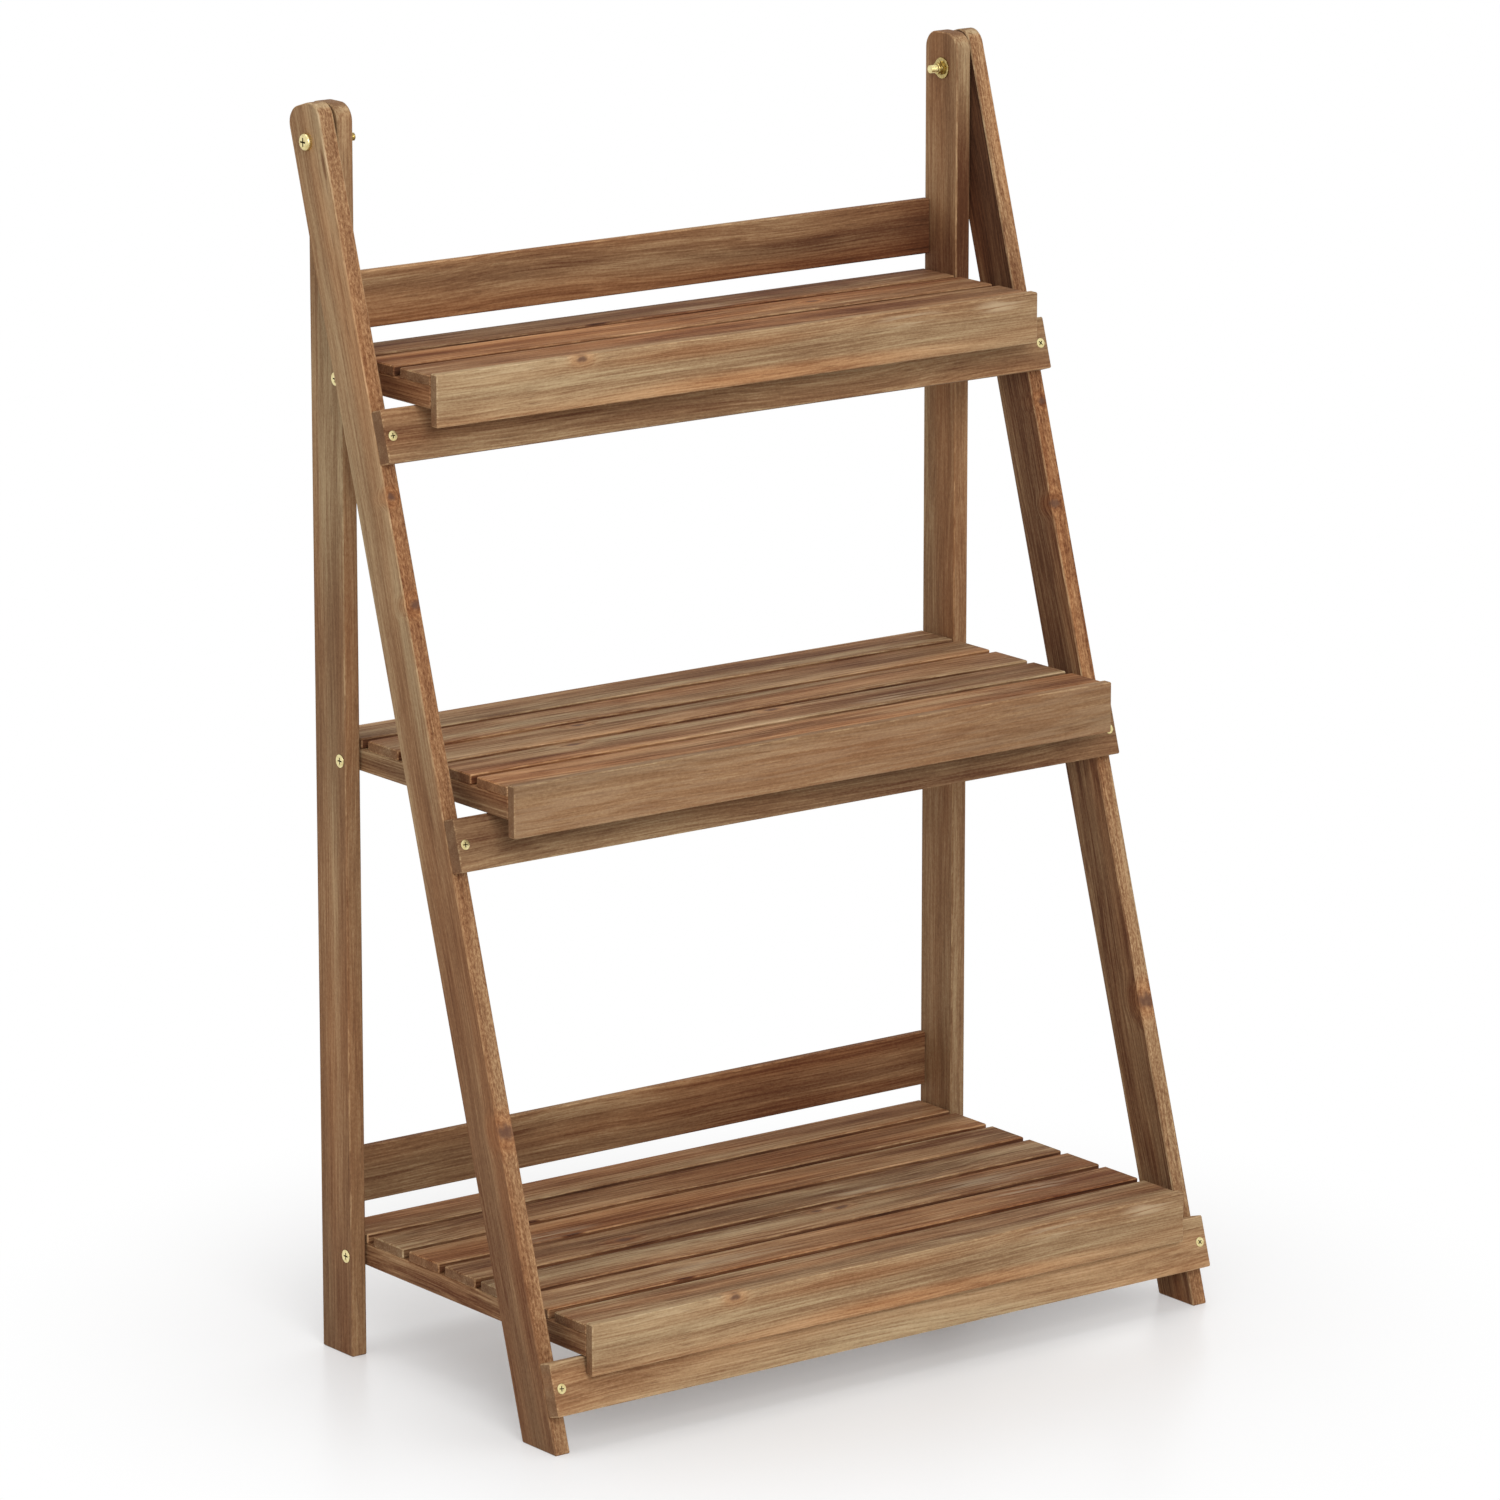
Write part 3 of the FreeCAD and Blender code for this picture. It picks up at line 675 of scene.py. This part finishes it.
def dress_rails():
    """The two upright back rails, and the three front rails that lean with the front legs."""
    for number, (name, (tone, redness, contrast, shades)) in enumerate(BACK_RAILS_WITH_PAINTED_SHADOW.items()):
        rail = Board(name, RAIL_GRAIN, BACK_RAIL_SEED + number, tone, redness, contrast=contrast)
        # The shades hold painted shadow of the right legs at the rails' right ends.
        rail.shade(shades)
        rail.finish()
    # The middle rail's darker tone is painted shade of its apron.
    for number, (shelf, (tone, redness)) in enumerate(FRONT_RAILS_WITH_PAINTED_SHADE.items()):
        seed = FRONT_RAIL_SEED + number
        rail = Board(
            f"front_rail_{shelf}", RAIL_GRAIN, seed, tone, redness, tilt=SPLAY, contrast=FRONT_RAIL_CONTRAST
        )
        rail.finish()


LEG_CONTRAST = 0.65

REAR_LEFT_SEED = 81
REAR_LEFT_TONE = 0.003
REAR_LEFT_REDNESS = 0.20
REAR_LEFT_SHADES = ((0.230, 0.0, 0.180, 0.080, 0.045),)
REAR_LEFT_FLUSHES = (
    (0.070, 0.0, 0.170, 0.080, -0.20),
    (0.240, 0.0, 0.180, 0.080, -0.35),
    (-0.160, 0.0, 0.170, 0.080, 0.22),
)
REAR_LEFT_FADE = (-0.46, -0.26, -0.072, 0.0)
REAR_LEFT_EDGE = (0.02, 0.35, 0.2)

REAR_RIGHT_SEED = 82
REAR_RIGHT_TONE = 0.006
REAR_RIGHT_REDNESS = 0.32
# Darker towards the top of the leg, and painted shade just above the top shelf.
REAR_RIGHT_SHADES_AND_PAINTED_SHADE = ((0.440, 0.0, 0.130, 0.080, -0.055), (0.285, 0.0, 0.060, 0.080, -0.120))
REAR_RIGHT_FLUSHES = ((0.440, 0.0, 0.130, 0.080, 0.05),)
REAR_RIGHT_FADE = (-0.30, 0.30, -0.022, 0.032)
REAR_RIGHT_EDGE = (0.02, 0.18, 0.2)
# Painted shadow of the right front leg: a stretch of the front narrow face made darker and redder.
REAR_RIGHT_PAINTED_SHADOW = ((0.325, 0.125, -0.165, 0.20),)


def dress_rear_legs():
    """The two upright legs."""
    left = Board(
        "rear_leg_left", LEG_GRAIN, REAR_LEFT_SEED, REAR_LEFT_TONE, REAR_LEFT_REDNESS, contrast=LEG_CONTRAST
    )
    left.shade(REAR_LEFT_SHADES)
    left.redden(REAR_LEFT_FLUSHES)
    left.fade(*REAR_LEFT_FADE)
    left.set_edges(*REAR_LEFT_EDGE)
    left.finish()

    right = Board(
        "rear_leg_right", LEG_GRAIN, REAR_RIGHT_SEED, REAR_RIGHT_TONE, REAR_RIGHT_REDNESS,
        contrast=LEG_CONTRAST,
    )
    # A darker top, and painted shade just above the top shelf.
    right.shade(REAR_RIGHT_SHADES_AND_PAINTED_SHADE)
    right.redden(REAR_RIGHT_FLUSHES)
    right.fade(*REAR_RIGHT_FADE)
    right.set_edges(*REAR_RIGHT_EDGE)
    # Painted shadow of the right front leg on the front narrow face.
    right.mark_front_edge(REAR_RIGHT_PAINTED_SHADOW)
    right.finish()


FRONT_EDGE_SPECKLE = 0.55

FRONT_LEFT_SEED = 83
FRONT_LEFT_TONE = -0.003
FRONT_LEFT_REDNESS = 0.18
FRONT_LEFT_SHADES = ((0.437, -0.0125, 0.018, 0.0030, -0.16), (0.395, -0.0060, 0.036, 0.0040, 0.05))
FRONT_LEFT_FLUSHES = ((-0.240, 0.0, 0.340, 0.080, 0.38), (0.340, 0.0, 0.160, 0.080, 0.28))
FRONT_LEFT_FADE = (-0.45, 0.45, -0.060, 0.080)
FRONT_LEFT_EDGE = (0.006, 0.56, FRONT_EDGE_SPECKLE)
FRONT_LEFT_MARKS = ((0.110, 0.130, -0.022, 0.18),)

FRONT_RIGHT_SEED = 84
FRONT_RIGHT_TONE = 0.020
FRONT_RIGHT_REDNESS = 0.16
FRONT_RIGHT_CONTRAST = 1.0
FRONT_RIGHT_SHADES = ((-0.230, 0.0, 0.360, 0.080, 0.020), (0.090, 0.0, 0.180, 0.080, -0.024))
FRONT_RIGHT_FLUSHES = ((-0.230, 0.0, 0.360, 0.080, -0.45), (0.090, 0.0, 0.180, 0.080, -0.25))
# Painted shade on the inner broad face, darker towards the top, where the rear leg stands beside it.
FRONT_RIGHT_INNER_PAINTED_SHADE = (0.15, 0.42, -0.065, -0.225)
FRONT_RIGHT_EDGE = (0.030, 0.58, FRONT_EDGE_SPECKLE)
FRONT_RIGHT_MARKS = (
    (-0.250, 0.330, 0.048, -0.45),
    (-0.190, 0.180, 0.030, -0.35),
    (0.240, 0.090, -0.025, 0.0),
    (0.380, 0.130, 0.050, 0.25),
)

# Knots in the front edge: places along and through the leg, and half sizes along and through it
EDGE_KNOTS = (
    (0.1975, 0.0019, 0.0027, 0.0034),
    (0.1200, -0.0030, 0.0034, 0.0050),
    (-0.2580, 0.0, 0.0060, 0.0070),
)
EDGE_KNOT_ACROSS = -0.0195
EDGE_KNOT_DEPTH = 0.0060


def edge_knots(side):
    """The knots in a front leg's front edge, which are mirrored from leg to leg."""
    knots = []
    for along, through, length, thickness in EDGE_KNOTS:
        knots.append(((along, EDGE_KNOT_ACROSS, side * through), (length, EDGE_KNOT_DEPTH, thickness)))
    return knots


def dress_front_legs():
    """The two slanted legs, with knots in their front edges."""
    left = Board(
        "front_leg_left", LEG_GRAIN, FRONT_LEFT_SEED, FRONT_LEFT_TONE, FRONT_LEFT_REDNESS,
        tilt=SPLAY, contrast=LEG_CONTRAST,
    )
    left.shade(FRONT_LEFT_SHADES)
    left.redden(FRONT_LEFT_FLUSHES)
    left.fade(*FRONT_LEFT_FADE)
    left.set_edges(*FRONT_LEFT_EDGE)
    left.mark_front_edge(FRONT_LEFT_MARKS)
    left.add_knots(edge_knots(SIDES["left"]))
    left.finish()

    right = Board(
        "front_leg_right", LEG_GRAIN, FRONT_RIGHT_SEED, FRONT_RIGHT_TONE, FRONT_RIGHT_REDNESS,
        tilt=SPLAY, contrast=FRONT_RIGHT_CONTRAST,
    )
    right.shade(FRONT_RIGHT_SHADES)
    right.redden(FRONT_RIGHT_FLUSHES)
    # Painted shade on the inner face, beside the rear leg.
    right.fade_face(-SIDES["right"], *FRONT_RIGHT_INNER_PAINTED_SHADE)
    right.set_edges(*FRONT_RIGHT_EDGE)
    right.mark_front_edge(FRONT_RIGHT_MARKS)
    right.add_knots(edge_knots(SIDES["right"]))
    right.finish()


# Brass finish: dull and bright colours, and the roughness of each. The darker nut and recess colours are
# painted shade.

PLATE_COLOURS = ((0.66, 0.54, 0.24), (0.86, 0.75, 0.40))
PLATE_ROUGHNESS = (0.36, 0.24)
# Nuts and washers: a darker copy of the plating, painted shade and dark reflection of the wood round them.
NUT_SHADED_COLOURS = ((0.34, 0.25, 0.09), (0.58, 0.46, 0.19))
NUT_ROUGHNESS = (0.30, 0.20)
# Cross recesses: a dark copy of the plating, painted shade in the hollows.
RECESS_SHADE_COLOURS = ((0.10, 0.065, 0.025), (0.22, 0.155, 0.065))
RECESS_ROUGHNESS = (0.62, 0.50)
TARNISH = (420.0, 420.0, 3.0, 0.55)
TARNISH_RANGE = (0.35, 0.65)
BRUSHING = (2600.0, 2600.0, 2.0, 0.55)
BRASS_RELIEF = 0.12
BRASS_RELIEF_DEPTH = 0.0001


def brass_material(name, colours, roughness):
    """Yellow-plated steel, a little uneven in colour and polish; darker colours given to it are painted
    shade.
    """
    material, tree = start_material(name)
    place = tree.nodes.new("ShaderNodeTexCoord").outputs["Object"]
    tarnish = noise(tree, place, *TARNISH)
    brushed = noise(tree, place, *BRUSHING)
    metal = tree.nodes.new("ShaderNodeBsdfPrincipled")
    put(tree, metal.inputs["Base Color"], ramp(tree, tarnish, list(zip(TARNISH_RANGE, colours))))
    put(tree, metal.inputs["Roughness"], remap(tree, tarnish, *TARNISH_RANGE, *roughness))
    put(tree, metal.inputs["Normal"], relief(tree, brushed, BRASS_RELIEF, BRASS_RELIEF_DEPTH))
    metal.inputs["Metallic"].default_value = 1.0
    show(tree, metal.outputs["BSDF"])
    return material


brass = brass_material("brass_plate", PLATE_COLOURS, PLATE_ROUGHNESS)
# Painted shade: darker brass for nuts and washers.
nut_brass_painted_shade = brass_material("brass_nut_painted_shade", NUT_SHADED_COLOURS, NUT_ROUGHNESS)
# Painted shade: dark brass for the cross recesses.
recess_brass_painted_shade = brass_material("brass_recess_painted_shade", RECESS_SHADE_COLOURS, RECESS_ROUGHNESS)

# Fasteners, each shaped once with its axis along Z and its seat at the origin, then copied to its places

ROUND = 32
HEXAGON = 6
NEAR = 0.00001
BOLT_RADIUS = 0.003
BOLT_END = 0.0065
BOLT_HEAD_ROUND = 0.0022
BOLT_HEAD_STEPS = 6
THREAD_PITCH = 0.001
THREAD_DEPTH = 0.00055
NUT_FLATS = 0.010
NUT_HEIGHT = 0.005
NUT_HEX_HEIGHT = 0.0034
NUT_CORNER = 0.0007
NUT_CORNER_STEPS = 1
COLLAR_RADIUS = 0.0043
COLLAR_ROUND = 0.0009
COLLAR_STEPS = 4
RIM_ROUND = 0.0003
WASHER_RIM_STEPS = 2
SCREW_RIM_STEPS = 3
CROSS_WIDTH_SHARE = 0.24
CROSS_REACH_SHARE = 0.60
CROSS_DEPTH_SHARE = 0.50
CROSS_TAPER = 0.70
PIVOT_SCREW = {"shank": 0.0025, "depth": 0.0026, "length": 0.024}
RAIL_SCREW = {"shank": 0.0020, "depth": 0.0022, "length": 0.034}
SCREW_PROUD = 0.0003
SCREW_POINT = 0.004
SPIN_STEP = 0.75
SMOOTH_ANGLE = math.radians(35.0)


def activate(piece):
    """Select one piece alone."""
    bpy.ops.object.select_all(action="DESELECT")
    piece.select_set(True)
    bpy.context.view_layer.objects.active = piece


def bar(name, radius, bottom, top, sides=ROUND):
    """A round or six-sided bar along Z, from one height to another."""
    bpy.ops.object.select_all(action="DESELECT")
    bpy.ops.mesh.primitive_cylinder_add(
        vertices=sides, radius=radius, depth=top - bottom, location=(0.0, 0.0, (bottom + top) / 2)
    )
    bpy.ops.object.transform_apply(location=True, rotation=True, scale=True)
    piece = bpy.context.active_object
    piece.name = name
    piece.data.materials.append(brass)
    return piece


def select_at(piece, height):
    """Open a piece for editing with the points at one height selected."""
    activate(piece)
    bpy.ops.object.mode_set(mode="EDIT")
    bpy.ops.mesh.select_mode(type="VERT")
    bpy.ops.mesh.select_all(action="DESELECT")
    bpy.ops.object.mode_set(mode="OBJECT")
    for point in piece.data.vertices:
        point.select = abs(point.co.z - height) < NEAR
    bpy.ops.object.mode_set(mode="EDIT")


def round_rim(piece, height, radius, steps):
    """Round the rim of a piece at one height."""
    select_at(piece, height)
    bpy.ops.mesh.bevel(offset=radius, segments=steps, affect="EDGES")
    bpy.ops.object.mode_set(mode="OBJECT")


def widen(factor):
    """Make what is selected wider or narrower round the axis."""
    bpy.ops.transform.resize(value=(factor, factor, 1.0), center_override=ORIGIN)


def draw_out(length):
    """Draw what is selected out downwards."""
    bpy.ops.mesh.extrude_region_move(TRANSFORM_OT_translate={"value": (0.0, 0.0, -length)})


def combine(piece, tool, operation):
    """Cut a piece with a tool, or join them, and put the tool away."""
    activate(piece)
    change = piece.modifiers.new("shape", "BOOLEAN")
    change.operation = operation
    change.object = tool
    change.material_mode = "TRANSFER"
    bpy.ops.object.modifier_apply(modifier=change.name)
    bpy.data.objects.remove(tool)


def press_cross(piece, top, head_radius):
    """Press a tapered cross recess into a head."""
    reach = CROSS_REACH_SHARE * head_radius
    width = CROSS_WIDTH_SHARE * head_radius
    depth = CROSS_DEPTH_SHARE * head_radius
    for turn in (0.0, math.pi / 2):
        bpy.ops.object.select_all(action="DESELECT")
        bpy.ops.mesh.primitive_cube_add(size=1.0, location=(0.0, 0.0, top))
        punch = bpy.context.active_object
        # The recess faces take the dark brass: painted shade in the hollow.
        punch.data.materials.append(recess_brass_painted_shade)
        punch.scale = (2 * reach, width, 2 * depth)
        punch.rotation_euler = (0.0, 0.0, turn)
        bpy.ops.object.transform_apply(location=True, rotation=True, scale=True)
        select_at(punch, top - depth)
        widen(CROSS_TAPER)
        bpy.ops.object.mode_set(mode="OBJECT")
        combine(piece, punch, "DIFFERENCE")


def hinge_bolt(head_radius, head_height, plain_length, thread_length):
    """A pan-head bolt: rounded head with a cross recess, plain shank and threaded end."""
    piece = bar("hinge_bolt", head_radius, 0.0, head_height)
    round_rim(piece, head_height, BOLT_HEAD_ROUND, BOLT_HEAD_STEPS)
    press_cross(piece, head_height, head_radius)
    select_at(piece, 0.0)
    bpy.ops.mesh.inset(thickness=head_radius - BOLT_RADIUS)
    draw_out(plain_length)
    root = (BOLT_RADIUS - THREAD_DEPTH) / BOLT_RADIUS
    thread_turns = int(thread_length / THREAD_PITCH)
    for factor in (root, 1.0 / root) * thread_turns:
        draw_out(THREAD_PITCH / 2)
        widen(factor)
    bpy.ops.object.mode_set(mode="OBJECT")
    return piece


def lock_nut():
    """A hexagon nut with eased corners and a round locking collar."""
    corner_radius = NUT_FLATS / math.sqrt(3)
    piece = bar("hinge_nut", corner_radius, 0.0, NUT_HEX_HEIGHT, HEXAGON)
    easing = bar("easing", corner_radius, 0.0, NUT_HEX_HEIGHT)
    round_rim(easing, 0.0, NUT_CORNER, NUT_CORNER_STEPS)
    round_rim(easing, NUT_HEX_HEIGHT, NUT_CORNER, NUT_CORNER_STEPS)
    combine(piece, easing, "INTERSECT")
    collar = bar("collar", COLLAR_RADIUS, NUT_HEX_HEIGHT / 2, NUT_HEIGHT)
    round_rim(collar, NUT_HEIGHT, COLLAR_ROUND, COLLAR_STEPS)
    combine(piece, collar, "UNION")
    combine(piece, bar("bore", BOLT_RADIUS, -NUT_HEIGHT, 2 * NUT_HEIGHT), "DIFFERENCE")
    # Darker brass: painted shade and dark reflection.
    piece.data.materials[0] = nut_brass_painted_shade
    return piece


def flat_washer(radius, thickness):
    """A round washer with rounded rims, bored for the bolt."""
    piece = bar("hinge_washer", radius, 0.0, thickness)
    round_rim(piece, 0.0, RIM_ROUND, WASHER_RIM_STEPS)
    round_rim(piece, thickness, RIM_ROUND, WASHER_RIM_STEPS)
    combine(piece, bar("bore", BOLT_RADIUS, -thickness, 2 * thickness), "DIFFERENCE")
    # Darker brass: painted shade and dark reflection.
    piece.data.materials[0] = nut_brass_painted_shade
    return piece


def countersunk_screw(head_radius, shank, depth, length):
    """A screw with a conical head, its rim rounded over, a cross recess and a point."""
    piece = bar("screw", head_radius, -depth, 0.0)
    select_at(piece, -depth)
    widen(shank / head_radius)
    draw_out(length - depth - SCREW_POINT)
    draw_out(SCREW_POINT)
    widen(RIM_ROUND / shank)
    bpy.ops.object.mode_set(mode="OBJECT")
    round_rim(piece, 0.0, RIM_ROUND, SCREW_RIM_STEPS)
    press_cross(piece, 0.0, head_radius)
    return piece


def fit(pattern, node, body, places):
    """Copy a fastener to its places, as one piece that stands for a node, and put the pattern away."""
    copies = []
    for number, (spot, outward) in enumerate(places):
        piece = pattern.copy()
        piece.data = pattern.data.copy()
        bpy.context.collection.objects.link(piece)
        turn = outward.to_track_quat("Z", "Y").to_matrix().to_4x4()
        spin = Matrix.Rotation(SPIN_STEP * number, 4, "Z")
        piece.data.transform(Matrix.Translation(spot) @ turn @ spin)
        copies.append(piece)
    activate(copies[0])
    for piece in copies:
        piece.select_set(True)
    bpy.ops.object.join()
    bpy.ops.object.shade_smooth_by_angle(angle=SMOOTH_ANGLE)
    whole = copies[0]
    whole.name = f"brass_{node}"
    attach(whole, body)
    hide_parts(node)
    bpy.data.objects.remove(pattern)


def fit_hinges():
    """Bolts from outside through both legs, with washers and nuts on the rear legs' inner faces."""
    spot = centre("hinge_bolts")
    low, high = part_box("hinge_bolts")
    leg_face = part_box("front_leg_right")[1][0]
    washer_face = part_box("hinge_washers")[1][0]
    nut_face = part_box("hinge_nuts")[1][0]
    washer_low, washer_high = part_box("hinge_washers")
    plain_length = leg_face - washer_face
    thread_length = washer_face - nut_face + NUT_HEIGHT + BOLT_END
    bolt = hinge_bolt((high[2] - low[2]) / 2, high[0] - leg_face, plain_length, thread_length)
    washer = flat_washer((washer_high[2] - washer_low[2]) / 2, washer_face - nut_face)
    nut = lock_nut()
    for pattern, node, face, direction in (
        (bolt, "hinge_bolts", leg_face, 1.0),
        (washer, "hinge_washers", washer_face, -1.0),
        (nut, "hinge_nuts", nut_face, -1.0),
    ):
        places = []
        for side in SIDES.values():
            places.append((Vector((side * face, spot.y, spot.z)), Vector((side * direction, 0.0, 0.0))))
        fit(pattern, node, "rear_frame", places)


def fit_pivot_screws():
    """Two screws on each shelf, through the rear legs into the cleats."""
    for shelf in SHELVES:
        node = f"{shelf}_pivot_screws"
        spot = centre(node)
        low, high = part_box(node)
        screw = countersunk_screw((high[2] - low[2]) / 2, **PIVOT_SCREW)
        places = []
        for side in SIDES.values():
            face = side * (high[0] + SCREW_PROUD)
            places.append((Vector((face, spot.y, spot.z)), Vector((side, 0.0, 0.0))))
        fit(screw, node, f"{shelf}_shelf", places)


def fit_rail_screws():
    """One screw at each end of each front rail, into the front edge of its leg."""
    outward = Vector((0.0, -math.cos(SPLAY), math.sin(SPLAY)))
    leg_middle = centre("front_leg_right").x
    screw = countersunk_screw(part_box("front_rail_screws")[1][0] - leg_middle, **RAIL_SCREW)
    places = []
    for shelf in SHELVES:
        low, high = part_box(f"front_rail_{shelf}")
        depth = high[1] - low[1]
        height = high[2] - low[2]
        thickness = (depth * math.cos(SPLAY) - height * math.sin(SPLAY)) / math.cos(2 * SPLAY)
        for side in SIDES.values():
            spot = centre(f"front_rail_{shelf}") + outward * (thickness / 2 + SCREW_PROUD)
            spot.x = side * leg_middle
            places.append((spot, outward))
    fit(screw, "front_rail_screws", "front_frame", places)


dress_aprons()
dress_slats()
dress_cleats()
dress_rails()
dress_rear_legs()
dress_front_legs()
fit_hinges()
fit_pivot_screws()
fit_rail_screws()

# Floor, lights and camera

FLOOR_HALF = 20.0
FLOOR_COLOUR = (0.95, 0.95, 0.95, 1.0)
FLOOR_ROUGHNESS = 0.28
FLOOR_SPECULAR = 0.3

# How the floor passes into the white background: distances from the stand, and the share of white there
FLOOR_WHITE = (0.22, 0.62, 0.22, 1.0)

# The studio's colour, and its strength where it is seen and as light on the stand
STUDIO_WHITE = (1.0, 1.0, 1.0, 1.0)
STUDIO_SHOWN = 1.0
STUDIO_LIGHT = 0.54

LIGHT_AIM = (0.0, 0.0, 0.45)
LIGHTS = {
    "key": {"spot": (-1.6, -3.8, 2.6), "size": 2.6, "power": 100.0},
    "overhead": {"spot": (0.0, 0.2, 4.0), "size": 3.0, "power": 43.0},
}
CAMERA_SPOT = (-3.45404, -4.57248, 1.82020)
CAMERA_YAW = math.radians(36.975)
CAMERA_PITCH = math.radians(-13.543)
CAMERA_LENS = 193.89
CAMERA_REACH = 100.0


def background_rays(tree):
    """One for the rays that see the background directly, in a reflection or through something clear."""
    rays = tree.nodes.new("ShaderNodeLightPath").outputs
    seen = calc(tree, "MAXIMUM", rays["Is Camera Ray"], rays["Is Glossy Ray"])
    return calc(tree, "MAXIMUM", seen, rays["Is Transmission Ray"])


def floor():
    """A white floor that takes the stand's shadow and passes into the background."""
    bpy.ops.object.select_all(action="DESELECT")
    bpy.ops.mesh.primitive_plane_add(size=2 * FLOOR_HALF)
    plane = bpy.context.active_object
    plane.name = "floor"
    material, tree = start_material("white_floor")
    surface = tree.nodes.new("ShaderNodeBsdfPrincipled")
    surface.inputs["Base Color"].default_value = FLOOR_COLOUR
    surface.inputs["Roughness"].default_value = FLOOR_ROUGHNESS
    surface.inputs["Specular IOR Level"].default_value = FLOOR_SPECULAR
    glow = tree.nodes.new("ShaderNodeEmission")
    place = tree.nodes.new("ShaderNodeTexCoord").outputs["Object"]
    far = remap(tree, vector_calc(tree, "LENGTH", place), *FLOOR_WHITE)
    mix = tree.nodes.new("ShaderNodeMixShader")
    put(tree, mix.inputs["Fac"], calc(tree, "MULTIPLY", background_rays(tree), far))
    put(tree, mix.inputs[1], surface.outputs["BSDF"])
    put(tree, mix.inputs[2], glow.outputs["Emission"])
    show(tree, mix.outputs["Shader"])
    plane.data.materials.append(material)


def world():
    """A studio that shows white and lights the stand softly from all round."""
    studio = bpy.data.worlds.new("studio")
    studio.use_nodes = True
    bpy.context.scene.world = studio
    tree = studio.node_tree
    tree.nodes.clear()
    background = tree.nodes.new("ShaderNodeBackground")
    background.inputs["Color"].default_value = STUDIO_WHITE
    strength = between(tree, background_rays(tree), STUDIO_LIGHT, STUDIO_SHOWN)
    put(tree, background.inputs["Strength"], strength)
    show(tree, background.outputs["Background"], "World")


def soft_light(name, spot, size, power):
    """A round soft light that looks at the stand."""
    bpy.ops.object.light_add(type="AREA", location=spot)
    lamp = bpy.context.active_object
    lamp.name = name
    lamp.data.shape = "DISK"
    lamp.data.size = size
    lamp.data.energy = power
    lamp.rotation_euler = (Vector(LIGHT_AIM) - Vector(spot)).to_track_quat("-Z", "Y").to_euler()


def camera():
    """A camera at the photograph's viewing angle."""
    bpy.ops.object.camera_add(location=CAMERA_SPOT)
    eye = bpy.context.active_object
    eye.rotation_euler = (math.pi / 2 + CAMERA_PITCH, 0.0, -CAMERA_YAW)
    eye.data.lens = CAMERA_LENS
    eye.data.clip_end = CAMERA_REACH
    bpy.context.scene.camera = eye


floor()
world()
for light_name, setting in LIGHTS.items():
    soft_light(light_name, **setting)
camera()
bpy.context.scene.view_settings.view_transform = "Standard"
